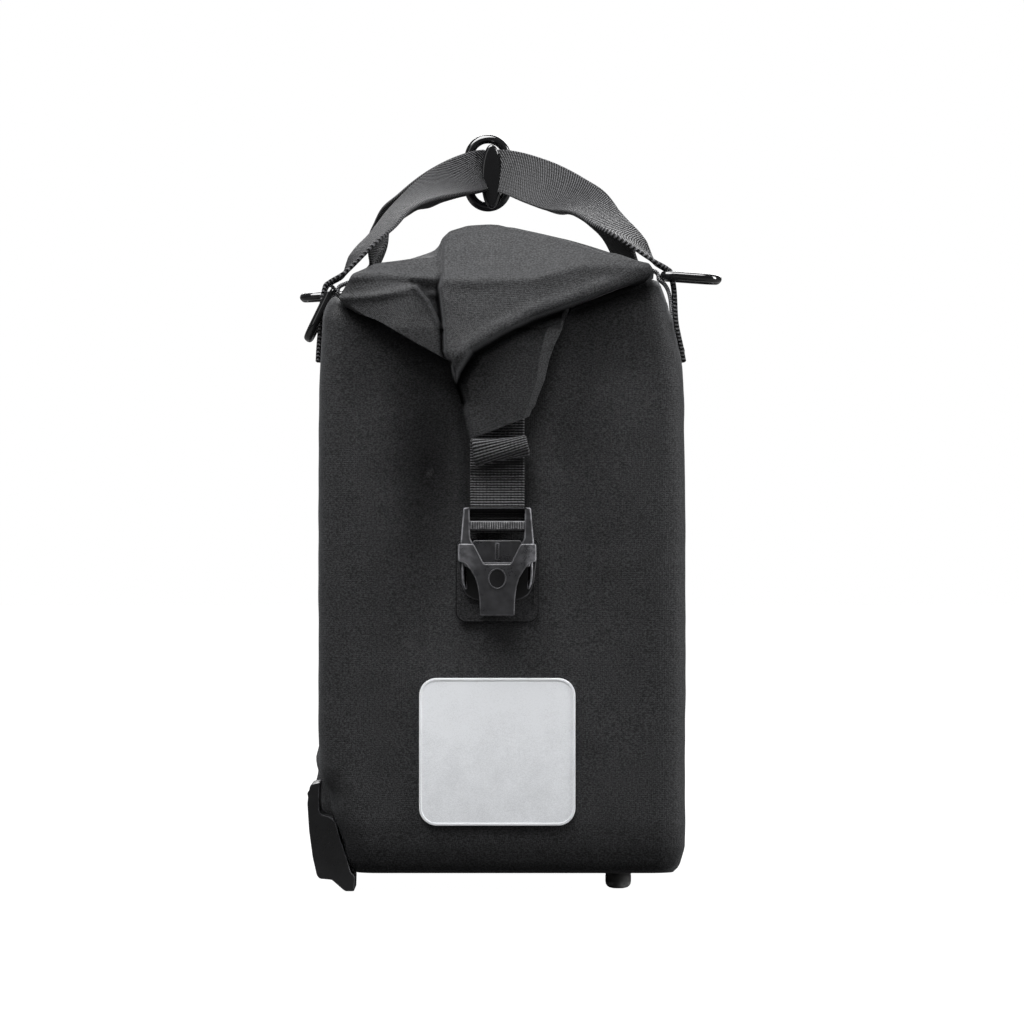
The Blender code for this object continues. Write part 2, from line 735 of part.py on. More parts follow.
def build_carry_ring(corner, material):
    """Flat loop of wire whose straight bar lies in the webbing and which droops about that bar."""
    name, side, end, _, _, droop = corner
    bar_out, bar_up = bar_place(corner)
    inner_width = STRAP_WIDTH + 2 * RING_SIDE_PLAY
    width = inner_width + WIRE
    bar_radius = WIRE / 2 + RING_SIDE_PLAY
    radii = (0.28 * RING_LENGTH, 0.28 * RING_LENGTH, bar_radius, bar_radius)
    outline = rounded_outline(RING_LENGTH, width, radii, 6)
    angle = math.radians(droop)
    away = Vector((side * math.cos(angle), 0, -math.sin(angle)))
    bar = Vector((side * bar_out, end * RING_Y, bar_up))
    sideways = Vector((0, 1, 0))
    path = [bar + away * (RING_LENGTH / 2 + a) + sideways * b for a, b in outline]
    return add_object("carry_ring_" + name, wire_loop(path, away.cross(sideways), WIRE, 10), material)


def build_handle(name, side, material):
    """Webbing handle from the near corner's panel over the link ring to the far corner's panel."""
    link_x = LINK_X + side * HANDLE_SPACING / 2
    turn_column = 3 if side < 0 else 4
    halves = []
    for corner in (c for c in CORNERS if c[1] == side):
        end = corner[2]
        corner_points = corner_strap(corner)
        bar_out, bar_up = corner_points[0]
        half = []
        for row in HANDLE_ROWS:
            along, out, fall = row[:3]
            x = link_x + (side * bar_out - link_x) * out
            z = HANDLE_HEIGHT + (bar_up - HANDLE_HEIGHT) * fall
            half.append((Vector((x, end * RING_Y * along, z)), row[turn_column]))
        half.extend((Vector((side * out, end * RING_Y, up)), 90.0) for out, up in corner_points)
        halves.append((end, half))
    near = next(half for end, half in halves if end < 0)
    far = next(half for end, half in halves if end > 0)
    stations = [*reversed(near), *far[1:]]
    steps = 3
    path = smooth_path([point for point, _ in stations], steps)
    places = np.arange(len(path)) / steps
    turns = np.interp(places, range(len(stations)), [turn for _, turn in stations])
    widths = []
    for along, point, turn in zip(tangents(path), path, turns):
        level = Vector((0, 0, 1)).cross(along)
        if turn > 89.0:
            widths.append(Vector((0, side * math.copysign(1.0, point.y) * -1, 0)))
            continue
        level.normalize()
        upright = along.cross(level)
        across = along.cross(upright)
        angle = math.radians(turn)
        widths.append(across * math.sin(angle) - side * upright * math.cos(angle))
    return add_object(name, ribbon(path, widths, STRAP_WIDTH, STRAP_THICKNESS), material)


def build_link_ring(material):
    """Oval ring that stands across the bag and hangs on the handles' top edges."""
    width = LINK_WIDTH - LINK_WIRE
    height = LINK_HEIGHT - LINK_WIRE
    inner_height = LINK_HEIGHT - 2 * LINK_WIRE
    inner_radius = LINK_WIDTH / 2 - LINK_WIRE
    strap_reach = (HANDLE_SPACING + STRAP_THICKNESS) / 2
    head = inner_height / 2 - inner_radius + math.sqrt(inner_radius**2 - strap_reach**2)
    centre_z = HANDLE_HEIGHT + STRAP_WIDTH / 2 + 2 * GAP - head
    outline = rounded_outline(width, height, (width / 2,) * 4, 6)
    seen = []
    for x, z in outline:
        point = Vector((LINK_X + x, 0, centre_z + z))
        if all((point - other).length > GAP for other in seen):
            seen.append(point)
    return add_object("handle_link_ring", wire_loop(seen, Vector((0, 1, 0)), LINK_WIRE, 12), material)


def build_all():
    """Model every piece."""
    for old in list(bpy.data.objects):
        bpy.data.objects.remove(old)
    cloth = make_material("cloth", (0.022, 0.022, 0.024), 0.85)
    webbing = make_material("webbing", (0.030, 0.030, 0.032), 0.75)
    pale_webbing = make_material("pale_webbing", (0.30, 0.30, 0.31), 0.75)
    plastic = make_material("buckle_plastic", (0.035, 0.035, 0.038), 0.35)
    hard_plastic = make_material("hook_plastic", (0.012, 0.012, 0.013), 0.40)
    ring_gloss = make_material("ring_gloss", (0.010, 0.010, 0.011), 0.20)
    rubber = make_material("rubber", (0.020, 0.020, 0.020), 0.80)
    reflective = make_material("reflective", (0.55, 0.55, 0.56), 0.35)
    build_bag_body(cloth)
    build_roll_closure(cloth)
    build_handle("handle_rear", -1, webbing)
    build_handle("handle_front", 1, webbing)
    build_link_ring(ring_gloss)
    for corner in CORNERS:
        build_tab(corner, pale_webbing)
        build_carry_ring(corner, ring_gloss)
    reflector = rounded_outline(REFLECTOR_WIDTH, REFLECTOR_HEIGHT, (REFLECTOR_RADIUS,) * 4, 5)
    patch = rounded_outline(PATCH_WIDTH, PATCH_HEIGHT, (CLOTH,) * 4, 3)
    patch_z = BUCKLE_BOTTOM + SOCKET_LENGTH - PATCH_HEIGHT / 2
    for place, end in (("near", -1), ("far", 1)):
        build_side_strap("side_strap_" + place, end, webbing)
        build_socket("buckle_socket_" + place, end, plastic)
        build_plug("buckle_plug_" + place, end, plastic)
        end_plate("buckle_patch_" + place, end, patch, patch_z, PATCH_THICKNESS, cloth)
        end_plate("reflector_" + place, end, reflector, REFLECTOR_Z, REFLECTOR_THICKNESS, reflective)
        build_hook("rack_hook_" + place, end, hard_plastic)
        build_foot("foot_" + place, end, rubber)


build_all()
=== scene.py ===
# %% [markdown]
# A roll-top briefcase that hangs on a bicycle rack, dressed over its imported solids. The solids give every
# size and place; this script adds what a solid can't show, such as folded cloth, ribbed webbing, rounded
# mouldings and stitches. All lengths are in metres, the floor is at height 0 and the near end faces -Y.

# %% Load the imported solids
import math

import bmesh
import bpy
import numpy as np
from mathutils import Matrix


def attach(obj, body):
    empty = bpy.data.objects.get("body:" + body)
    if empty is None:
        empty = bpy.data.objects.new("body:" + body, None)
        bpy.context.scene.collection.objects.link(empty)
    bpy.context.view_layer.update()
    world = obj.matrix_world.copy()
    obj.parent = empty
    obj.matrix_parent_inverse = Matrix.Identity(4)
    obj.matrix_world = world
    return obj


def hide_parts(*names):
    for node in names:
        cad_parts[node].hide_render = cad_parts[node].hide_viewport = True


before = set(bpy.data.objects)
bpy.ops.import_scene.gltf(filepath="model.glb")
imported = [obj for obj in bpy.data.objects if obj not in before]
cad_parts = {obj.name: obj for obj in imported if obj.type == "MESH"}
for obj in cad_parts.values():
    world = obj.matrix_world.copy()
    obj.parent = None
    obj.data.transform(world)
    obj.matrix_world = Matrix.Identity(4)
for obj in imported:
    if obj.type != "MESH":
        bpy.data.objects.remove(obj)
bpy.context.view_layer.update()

# %% [markdown]
# The picture was taken level with the bag's middle, from about three metres, with a long lens, so the
# bag's near end looks almost like a drawing. A short lens close by would show the long sides as well.
# The lens length follows from the distance and from how many pixels one metre fills.

# %% Camera
lens_distance = 3.0
pixels_per_metre = 2170.0
camera_data = bpy.data.cameras.new("camera")
camera_data.sensor_width = 36.0
camera_data.lens = pixels_per_metre * lens_distance * camera_data.sensor_width / 1024
camera_data.clip_end = 60.0
camera = bpy.data.objects.new("camera", camera_data)
camera.location = (0.0048, -0.200 - lens_distance, 0.1753)
camera.rotation_euler = (math.radians(90.0), 0.0, 0.0)
bpy.context.scene.collection.objects.link(camera)
bpy.context.scene.camera = camera
print("lens:", round(camera_data.lens, 1), "mm")

# %% [markdown]
# Black cloth needs broad lights. A wide panel overhead, a little in front, makes every surface that leans
# back lighter than the upright ones, and that draws the folds. A narrow panel on the right lights the
# bag's front edge, one behind lights the handles' rims, and a weak one in front on the left fills in.
# The floor and the world look white to the camera but send little light, or the bag would turn grey.

# %% Lights and floor
def soft_light(name, place, aim, size, power):
    """Rectangular area light at a place, turned towards a point; size is its width and height."""
    data = bpy.data.lights.new(name, "AREA")
    data.shape = "RECTANGLE"
    data.size, data.size_y = size
    data.energy = power
    lamp = bpy.data.objects.new(name, data)
    lamp.location = place
    way = np.array(aim, float) - np.array(place, float)
    flat = math.hypot(way[0], way[1])
    lamp.rotation_euler = (math.atan2(flat, -way[2]), 0.0, math.atan2(-way[0], way[1]))
    bpy.context.scene.collection.objects.link(lamp)


def seen_glow(tree, socket, hidden):
    """Link a strength that is 1 where the camera looks and has the hidden value for all other rays."""
    rays = tree.nodes.new("ShaderNodeLightPath")
    strength = tree.nodes.new("ShaderNodeMapRange")
    strength.inputs["To Min"].default_value = hidden
    strength.inputs["To Max"].default_value = 1.0
    tree.links.new(rays.outputs["Is Camera Ray"], strength.inputs["Value"])
    tree.links.new(strength.outputs["Result"], socket)


bag_middle = (0, 0, 0.15)
soft_light("top_panel", (-0.30, -0.48, 1.35), (0, -0.05, 0.15), (1.1, 1.1), 40)
soft_light("left_panel", (-1.5, -2.3, 1.2), bag_middle, (1.2, 1.6), 4.5)
soft_light("right_panel", (2.1, -0.50, 0.8), bag_middle, (0.6, 1.6), 49)
soft_light("back_panel", (0.3, 2.2, 1.3), bag_middle, (1.6, 1.2), 30)

world = bpy.data.worlds.new("studio")
world.use_nodes = True
backdrop = world.node_tree.nodes["Background"]
backdrop.inputs["Color"].default_value = (1.0, 1.0, 1.0, 1.0)
seen_glow(world.node_tree, backdrop.inputs["Strength"], 0.09)
bpy.context.scene.world = world
bpy.context.scene.view_settings.view_transform = "Standard"

floor_mesh = bpy.data.meshes.new("floor")
floor_angles = np.linspace(0, 2 * np.pi, 96, endpoint=False)
floor_ring = np.stack([9 * np.cos(floor_angles), 9 * np.sin(floor_angles), np.full(96, -0.0002)], axis=1)
floor_mesh.from_pydata(floor_ring.tolist(), [], [list(range(96))])
floor = bpy.data.objects.new("floor", floor_mesh)
bpy.context.scene.collection.objects.link(floor)
floor_paint = bpy.data.materials.new("floor_paint")
floor_paint.use_nodes = True
floor_shader = floor_paint.node_tree.nodes["Principled BSDF"]
floor_shader.inputs["Base Color"].default_value = (0.09, 0.09, 0.09, 1.0)
floor_shader.inputs["Roughness"].default_value = 0.85
floor_shader.inputs["Emission Color"].default_value = (1.0, 1.0, 1.0, 1.0)
seen_glow(floor_paint.node_tree, floor_shader.inputs["Emission Strength"], 0.0)
floor_mesh.materials.append(floor_paint)

# %% [markdown]
# Materials share a few effects: the weave of the cloth, the ribs of the webbing, the fine grain of moulded
# plastic and the shine where an edge is rubbed. Each effect is one node group, built once, with its numbers
# as inputs. The groups only work out patterns; the shader stays in the material. Each mesh also carries a
# value named edge: on mouldings it says where a rim is rubbed, on the buckle also where its outer sides get
# a painted highlight, and on cloth and webbing it is painted shade: how deep in a crease or in shadow a
# place lies, which darkens the colour there.

# %% Node helpers
def new_group(name, inputs, outputs):
    """Node group with named float, colour or vector sockets; inputs give their default values."""
    tree = bpy.data.node_groups.new(name, "ShaderNodeTree")
    for label, kind, value in inputs:
        socket = tree.interface.new_socket(label, in_out="INPUT", socket_type=kind)
        if value is not None:
            socket.default_value = value
    for label, kind in outputs:
        tree.interface.new_socket(label, in_out="OUTPUT", socket_type=kind)
    return tree, tree.nodes.new("NodeGroupInput"), tree.nodes.new("NodeGroupOutput")


def add_node(tree, kind, inputs=None, **settings):
    """One node; inputs holds values or sockets to link, by the socket's name or number."""
    made = tree.nodes.new(kind)
    for key, value in settings.items():
        setattr(made, key, value)
    for key, value in (inputs or {}).items():
        if isinstance(value, bpy.types.NodeSocket):
            tree.links.new(value, made.inputs[key])
        else:
            made.inputs[key].default_value = value
    return made


def sums(tree, operation, first, second=0.0, third=0.0):
    """Output of one Math node with up to three operands."""
    return add_node(tree, "ShaderNodeMath", {0: first, 1: second, 2: third}, operation=operation).outputs[0]


def mixed(tree, share, first, second):
    """Output of a colour Mix node."""
    made = add_node(tree, "ShaderNodeMix", {"Factor": share, 6: first, 7: second}, data_type="RGBA")
    return made.outputs[2]


print("node helpers ready")

# %% [markdown]
# The cloth is a plain weave: each thread passes over one and under the next. Two sine waves multiplied give
# that chequer of knots. A picture of cloth would do from afar, but it would repeat and blur close by. Noise
# drawn out sideways adds the uneven yarns.

# %% Weave of the cloth
weave, weave_in, weave_out = new_group(
    "cloth_weave",
    [
        ("Surface", "NodeSocketVector", None),
        ("Place", "NodeSocketVector", None),
        ("Thread", "NodeSocketFloat", 0.0008),
        ("Blotch", "NodeSocketFloat", 0.006),
    ],
    [("Height", "NodeSocketFloat"), ("Mottle", "NodeSocketFloat"), ("Blotches", "NodeSocketFloat")],
)
weave_parts = add_node(weave, "ShaderNodeSeparateXYZ", {0: weave_in.outputs["Surface"]})
weave_waves = []
for weave_axis in ("X", "Y"):
    turns = sums(weave, "DIVIDE", weave_parts.outputs[weave_axis], weave_in.outputs["Thread"])
    weave_waves.append(sums(weave, "SINE", sums(weave, "MULTIPLY", turns, math.pi)))
weave_over = sums(weave, "MULTIPLY", weave_waves[0], weave_waves[1])
weave_knots = sums(weave, "ABSOLUTE", weave_over)
thread_scale = sums(weave, "DIVIDE", 1.3, weave_in.outputs["Thread"])
weave_drawn = add_node(
    weave, "ShaderNodeVectorMath", {0: weave_in.outputs["Place"], 1: (0.8, 0.8, 1.25)}, operation="MULTIPLY"
)
weave_noise = add_node(
    weave, "ShaderNodeTexNoise",
    {"Vector": weave_drawn.outputs[0], "Scale": thread_scale, "Detail": 2.0, "Roughness": 0.6},
)
blotch_scale = sums(weave, "DIVIDE", 1.0, weave_in.outputs["Blotch"])
weave_blotch = add_node(
    weave, "ShaderNodeTexNoise",
    {"Vector": weave_in.outputs["Place"], "Scale": blotch_scale, "Detail": 3.0, "Roughness": 0.55},
)
weave_raised = sums(weave, "MULTIPLY", weave_knots, 0.5)
weave_fine = sums(weave, "MULTIPLY_ADD", weave_noise.outputs[0], 0.9, weave_raised)
weave.links.new(sums(weave, "MULTIPLY", weave_fine, 0.75), weave_out.inputs["Height"])
weave_contrast = add_node(
    weave, "ShaderNodeMapRange", {0: weave_noise.outputs[0], 1: 0.38, 2: 0.64, 3: 0.0, 4: 1.0}
)
weave.links.new(weave_contrast.outputs[0], weave_out.inputs["Mottle"])
weave.links.new(weave_blotch.outputs[0], weave_out.inputs["Blotches"])
print("weave nodes:", len(weave.nodes))

# %% [markdown]
# Webbing has ridges across its length and fainter yarns along it. Both are the absolute value of a sine
# wave over the surface map, and adding a share of the way across makes the ridges slant. Grooves in the
# mesh itself need far more points, so only the side straps, which are seen from close by, get them as well.

# %% Ribs of the webbing
ribs, ribs_in, ribs_out = new_group(
    "webbing_ribs",
    [
        ("Surface", "NodeSocketVector", None),
        ("Rib", "NodeSocketFloat", 0.00125),
        ("Yarn", "NodeSocketFloat", 0.0016),
        ("Slant", "NodeSocketFloat", 0.0),
    ],
    [("Height", "NodeSocketFloat"), ("Ridge", "NodeSocketFloat"), ("Yarns", "NodeSocketFloat")],
)
ribs_parts = add_node(ribs, "ShaderNodeSeparateXYZ", {0: ribs_in.outputs["Surface"]})
ribs_moved = sums(
    ribs, "MULTIPLY_ADD", ribs_parts.outputs["X"], ribs_in.outputs["Slant"], ribs_parts.outputs["Y"]
)
ribs_turns = sums(ribs, "MULTIPLY", sums(ribs, "DIVIDE", ribs_moved, ribs_in.outputs["Rib"]), math.pi)
ribs_ridge = sums(ribs, "ABSOLUTE", sums(ribs, "SINE", ribs_turns))
yarn_turns = sums(ribs, "DIVIDE", ribs_parts.outputs["X"], ribs_in.outputs["Yarn"])
ribs_yarn = sums(ribs, "ABSOLUTE", sums(ribs, "SINE", sums(ribs, "MULTIPLY", yarn_turns, math.pi)))
ribs_height = sums(ribs, "MULTIPLY_ADD", ribs_yarn, 0.14, sums(ribs, "MULTIPLY", ribs_ridge, 0.86))
ribs.links.new(ribs_height, ribs_out.inputs["Height"])
ribs.links.new(ribs_ridge, ribs_out.inputs["Ridge"])
ribs.links.new(ribs_yarn, ribs_out.inputs["Yarns"])
print("rib nodes:", len(ribs.nodes))

# %% [markdown]
# Moulded plastic has a fine grain and, once it has been handled, dull and shiny smears. Fine noise gives
# the height of the grain, and mostly coarse noise moves the roughness between two values. With one
# roughness all over, the buckle would look drawn.

# %% Grain of moulded plastic
grain, grain_in, grain_out = new_group(
    "moulded_grain",
    [
        ("Place", "NodeSocketVector", None),
        ("Grain", "NodeSocketFloat", 0.0005),
        ("Smear", "NodeSocketFloat", 0.012),
        ("Low", "NodeSocketFloat", 0.3),
        ("High", "NodeSocketFloat", 0.45),
    ],
    [("Height", "NodeSocketFloat"), ("Roughness", "NodeSocketFloat"), ("Smears", "NodeSocketFloat")],
)
grain_scale = sums(grain, "DIVIDE", 1.0, grain_in.outputs["Grain"])
grain_fine = add_node(
    grain, "ShaderNodeTexNoise", {"Vector": grain_in.outputs["Place"], "Scale": grain_scale, "Detail": 1.0}
)
smear_scale = sums(grain, "DIVIDE", 1.0, grain_in.outputs["Smear"])
grain_smear = add_node(
    grain, "ShaderNodeTexNoise", {"Vector": grain_in.outputs["Place"], "Scale": smear_scale, "Detail": 3.0}
)
grain_smears = sums(grain, "MULTIPLY", grain_smear.outputs[0], 0.7)
grain_both = sums(grain, "MULTIPLY_ADD", grain_fine.outputs[0], 0.3, grain_smears)
grain_rough = add_node(
    grain, "ShaderNodeMapRange",
    {0: grain_both, 1: 0.3, 2: 0.7, 3: grain_in.outputs["Low"], 4: grain_in.outputs["High"]},
)
grain.links.new(grain_fine.outputs[0], grain_out.inputs["Height"])
grain.links.new(grain_rough.outputs[0], grain_out.inputs["Roughness"])
grain.links.new(grain_smear.outputs[0], grain_out.inputs["Smears"])
print("grain nodes:", len(grain.nodes))

# %% [markdown]
# Edges that are touched often are polished. A Bevel node could find them while rendering, but slowly and on
# every edge alike. Here the mesh says where its rims are, and noise breaks the mark up.

# %% Rubbed edges
wear, wear_in, wear_out = new_group(
    "rubbed_edges",
    [
        ("Place", "NodeSocketVector", None),
        ("Edge", "NodeSocketFloat", 0.0),
        ("Patch", "NodeSocketFloat", 0.004),
        ("Amount", "NodeSocketFloat", 0.5),
    ],
    [("Mask", "NodeSocketFloat")],
)
wear_scale = sums(wear, "DIVIDE", 1.0, wear_in.outputs["Patch"])
wear_noise = add_node(
    wear, "ShaderNodeTexNoise", {"Vector": wear_in.outputs["Place"], "Scale": wear_scale, "Detail": 4.0}
)
wear_uneven = add_node(
    wear, "ShaderNodeMapRange", {0: wear_noise.outputs[0], 1: 0.35, 2: 0.7, 3: 0.25, 4: 1.0}
)
wear_edge = sums(wear, "MULTIPLY", wear_in.outputs["Edge"], wear_uneven.outputs[0])
wear.links.new(sums(wear, "MULTIPLY", wear_edge, wear_in.outputs["Amount"]), wear_out.inputs["Mask"])
print("wear nodes:", len(wear.nodes))

# %% [markdown]
# Every material starts alike: one shader with patterns led into it. These helpers make that start, so that
# each finish below shows only what is its own.

# %% Material helpers
def new_material(name, **sockets):
    """Material with one Principled shader; returned with its tree and the two places for patterns, the
    object's own coordinates and its surface map."""
    material = bpy.data.materials.new(name)
    material.use_nodes = True
    tree = material.node_tree
    shader = tree.nodes["Principled BSDF"]
    for label, value in sockets.items():
        shader.inputs[label.replace("_", " ")].default_value = value
    coordinates = add_node(tree, "ShaderNodeTexCoord")
    return material, tree, shader, coordinates.outputs["Object"], coordinates.outputs["UV"]


def bumped(tree, shader, height, strength, depth):
    """Lead a height through a Bump node to the shader's normal."""
    bump = add_node(tree, "ShaderNodeBump", {"Height": height, "Strength": strength, "Distance": depth})
    tree.links.new(bump.outputs[0], shader.inputs["Normal"])


def painted_shade_factor(tree):
    """Painted shade factor: 1 on open cloth or webbing, falling towards 0 deep in a crease or in shadow,
    from its edge values.
    """
    crease = add_node(tree, "ShaderNodeAttribute", attribute_name="edge")
    return sums(tree, "MULTIPLY_ADD", crease.outputs["Fac"], -0.92, 1.0)


def edge_mask(tree, place, patch, amount):
    """Rubbed edges of a moulding, from the edge attribute of its mesh."""
    edge = add_node(tree, "ShaderNodeAttribute", attribute_name="edge")
    return add_node(
        tree, "ShaderNodeGroup",
        {"Place": place, "Edge": edge.outputs["Fac"], "Patch": patch, "Amount": amount},
        node_tree=wear,
    ).outputs[0]


print("material helpers ready")

# %% [markdown]
# The bag's cloth is a coated plain weave: nearly black, with pale flecks where yarns cross and soft
# blotches where the coating is thinner. One flat black would look like painted metal. The weave follows
# the surface map of each piece, the flecks and blotches follow the place, so they never show a seam. In
# creases and shadows the colour, the shine and the fuzz fade together as painted shade, or the cloth
# would gleam in its own shadow.

# %% Cloth materials
def cloth_material(name, dark, light, thread, fleck):
    """Coated cloth with a weave, flecks and soft blotches; fleck is how strongly the flecks show."""
    material, tree, shader, place, surface = new_material(name, Sheen_Roughness=0.5)
    shader.inputs["Sheen Tint"].default_value = (0.8, 0.82, 0.85, 1.0)
    threads = add_node(
        tree, "ShaderNodeGroup", {"Surface": surface, "Place": place, "Thread": thread, "Blotch": 0.009},
        node_tree=weave,
    )
    tone = sums(tree, "MULTIPLY_ADD", threads.outputs["Mottle"], fleck, -0.07)
    tone = sums(tree, "MULTIPLY_ADD", threads.outputs["Blotches"], 0.35, tone)
    # Painted shade: the edge values darken the colour, the shine and the fuzz in creases and shadows.
    painted_shade_multiplier = painted_shade_factor(tree)
    tone = sums(tree, "MULTIPLY", tone, painted_shade_multiplier)
    tree.links.new(mixed(tree, tone, (*dark, 1.0), (*light, 1.0)), shader.inputs["Base Color"])
    rough = add_node(
        tree, "ShaderNodeMapRange", {0: threads.outputs["Blotches"], 1: 0.3, 2: 0.7, 3: 0.62, 4: 0.8}
    )
    tree.links.new(rough.outputs[0], shader.inputs["Roughness"])
    for label, strength in (("Specular IOR Level", 0.28), ("Sheen Weight", 0.10)):
        shader.inputs[label].default_value = strength
        tree.links.new(sums(tree, "MULTIPLY", painted_shade_multiplier, strength), shader.inputs[label])
    bumped(tree, shader, threads.outputs["Height"], 0.55, 0.0004)
    return material


cloth = cloth_material("bag_cloth", (0.0008, 0.0008, 0.0010), (0.0420, 0.0425, 0.0450), 0.0009, 0.80)
print("cloth:", cloth.name)

# %% [markdown]
# Webbing is woven much more coarsely than the cloth. Across the side straps run fine straight ribs, on the
# handles the ribs slant. Both come from one group, with a slant of zero or of about one. The colour rises
# steeply towards the top of each rib: painted light on the rib tops and painted shade that keeps the gaps
# between ribs black, as they look in real webbing.

# %% Webbing materials
def webbing_material(name, dark, light, rib, slant, depth):
    """Woven strap whose ribs follow its surface map."""
    material, tree, shader, place, surface = new_material(name, Sheen_Weight=0.06, Sheen_Roughness=0.4)
    shader.inputs["Specular IOR Level"].default_value = 0.25
    woven = add_node(
        tree, "ShaderNodeGroup", {"Surface": surface, "Rib": rib, "Slant": slant}, node_tree=ribs
    )
    fuzz = add_node(tree, "ShaderNodeTexNoise", {"Vector": place, "Scale": 900.0, "Detail": 2.0})
    # Painted light and shade: the colour follows the rib height, lighter on the rib tops and black in the
    # gaps.
    tone = sums(tree, "MULTIPLY", sums(tree, "POWER", woven.outputs["Height"], 3.0), fuzz.outputs[0])
    tone = sums(tree, "MULTIPLY_ADD", tone, 4.2, -0.50)
    # Painted shade: the edge values darken the colour, on the side straps in the buckle's slot and under the
    # turned-over end.
    tone = sums(tree, "MULTIPLY", tone, painted_shade_factor(tree))
    tree.links.new(mixed(tree, tone, (*dark, 1.0), (*light, 1.0)), shader.inputs["Base Color"])
    rough = add_node(tree, "ShaderNodeMapRange", {0: woven.outputs["Ridge"], 3: 0.75, 4: 0.5})
    tree.links.new(rough.outputs[0], shader.inputs["Roughness"])
    bumped(tree, shader, woven.outputs["Height"], 0.8, depth)
    return material


strap_webbing = webbing_material(
    "strap_webbing", (0.0008, 0.0008, 0.0010), (0.105, 0.105, 0.110), 0.00125, 0.0, 0.0009
)
handle_webbing = webbing_material(
    "handle_webbing", (0.0008, 0.0008, 0.0010), (0.078, 0.078, 0.083), 0.0018, 0.85, 0.0012
)
pale_tape = webbing_material("pale_tape", (0.10, 0.10, 0.105), (0.42, 0.42, 0.43), 0.0009, 0.0, 0.0003)
thread = webbing_material(
    "sewing_thread", (0.006, 0.006, 0.0065), (0.060, 0.060, 0.064), 0.0004, 0.9, 0.0002
)
print("webbing:", strap_webbing.name, handle_webbing.name, pale_tape.name, thread.name)

# %% [markdown]
# The buckle and the hooks are moulded plastic with a faint grain. Where fingers and rails touch the edges
# they are polished and look lighter; on the buckle the outer sides are lighter still, a painted highlight.
# The rings have a smooth glossy coat over wire, the feet are dull rubber, and the reflective patch is a
# silver film with a very fine weave under it, with painted light that makes it lighter towards its top.

# %% Hard materials
def plastic_material(name, dark, light, grain_size, low, high, edge_wear, coated=False):
    """Moulded plastic: grain, smears whose roughness runs from low to high, and lighter rubbed edges. The
    coat is a clear glossy one."""
    material, tree, shader, place, _ = new_material(name)
    mould = add_node(
        tree, "ShaderNodeGroup", {"Place": place, "Grain": grain_size, "Low": low, "High": high},
        node_tree=grain,
    )
    body = mixed(tree, sums(tree, "MULTIPLY", mould.outputs["Smears"], 0.35), (*dark, 1.0), (*light, 1.0))
    pale = tuple(min(1.0, 6.0 * value) for value in light)
    colour = mixed(tree, edge_mask(tree, place, 0.003, edge_wear), body, (*pale, 1.0))
    tree.links.new(colour, shader.inputs["Base Color"])
    tree.links.new(mould.outputs["Roughness"], shader.inputs["Roughness"])
    bumped(tree, shader, mould.outputs["Height"], 0.2, 0.0001)
    if coated:
        shader.inputs["Coat Weight"].default_value = 1.0
        shader.inputs["Coat Roughness"].default_value = 0.06
    return material


buckle_plastic = plastic_material(
    "buckle_plastic", (0.010, 0.010, 0.011), (0.075, 0.075, 0.080), 0.0005, 0.24, 0.38, 0.75
)
hook_plastic = plastic_material(
    "hook_plastic", (0.0035, 0.0035, 0.004), (0.026, 0.026, 0.028), 0.0006, 0.26, 0.42, 0.60
)
foot_rubber = plastic_material(
    "foot_rubber", (0.045, 0.045, 0.045), (0.150, 0.150, 0.150), 0.0004, 0.50, 0.70, 0.50
)
ring_gloss = plastic_material(
    "ring_gloss", (0.003, 0.003, 0.0035), (0.012, 0.012, 0.013), 0.0020, 0.10, 0.20, 0.0, coated=True
)

reflective_film, film_tree, film_shader, film_place, film_surface = new_material("reflective_film")
film_shader.inputs["Specular IOR Level"].default_value = 0.5
film_weave = add_node(
    film_tree, "ShaderNodeGroup",
    {"Surface": film_surface, "Place": film_place, "Thread": 0.00055, "Blotch": 0.010}, node_tree=weave,
)
film_tone = sums(film_tree, "MULTIPLY_ADD", film_weave.outputs["Mottle"], 0.30, 0.10)
film_tone = sums(film_tree, "MULTIPLY_ADD", film_weave.outputs["Blotches"], 0.45, film_tone)
# Painted light: the colour grows lighter with height, towards the film's top.
film_height = add_node(film_tree, "ShaderNodeSeparateXYZ", {0: film_place}).outputs["Z"]
film_tone = sums(film_tree, "MULTIPLY_ADD", film_height, 6.0, film_tone)
film_colour = mixed(film_tree, film_tone, (0.49, 0.505, 0.525, 1.0), (0.95, 0.97, 1.00, 1.0))
film_rim = edge_mask(film_tree, film_place, 0.006, 0.8)
film_colour = mixed(film_tree, film_rim, film_colour, (0.92, 0.93, 0.94, 1.0))
film_tree.links.new(film_colour, film_shader.inputs["Base Color"])
film_metal = add_node(film_tree, "ShaderNodeMapRange", {0: film_weave.outputs["Mottle"], 3: 0.05, 4: 0.20})
film_tree.links.new(film_metal.outputs[0], film_shader.inputs["Metallic"])
film_rough = add_node(film_tree, "ShaderNodeMapRange", {0: film_weave.outputs["Blotches"], 3: 0.42, 4: 0.62})
film_tree.links.new(film_rough.outputs[0], film_shader.inputs["Roughness"])
bumped(film_tree, film_shader, film_weave.outputs["Height"], 0.25, 0.0002)
print("hard finishes:", buckle_plastic.name, hook_plastic.name, ring_gloss.name, reflective_film.name)

# %% [markdown]
# Every piece is a grid of points worked out as one numpy array: rows run along the piece, columns across
# it. Neighbouring points make quads, and distances along the grid, in metres, become its surface map, so
# a rib of 1.25 mm is 1.25 mm on every strap.

# %% Mesh helpers
def lengths(points, closed):
    """Distance from the first row to each row, as the average over the columns."""
    if closed:
        points = np.concatenate([points, points[:1]])
    steps = np.linalg.norm(np.diff(points, axis=0), axis=-1).mean(axis=1)
    return np.concatenate([[0.0], np.cumsum(steps)])


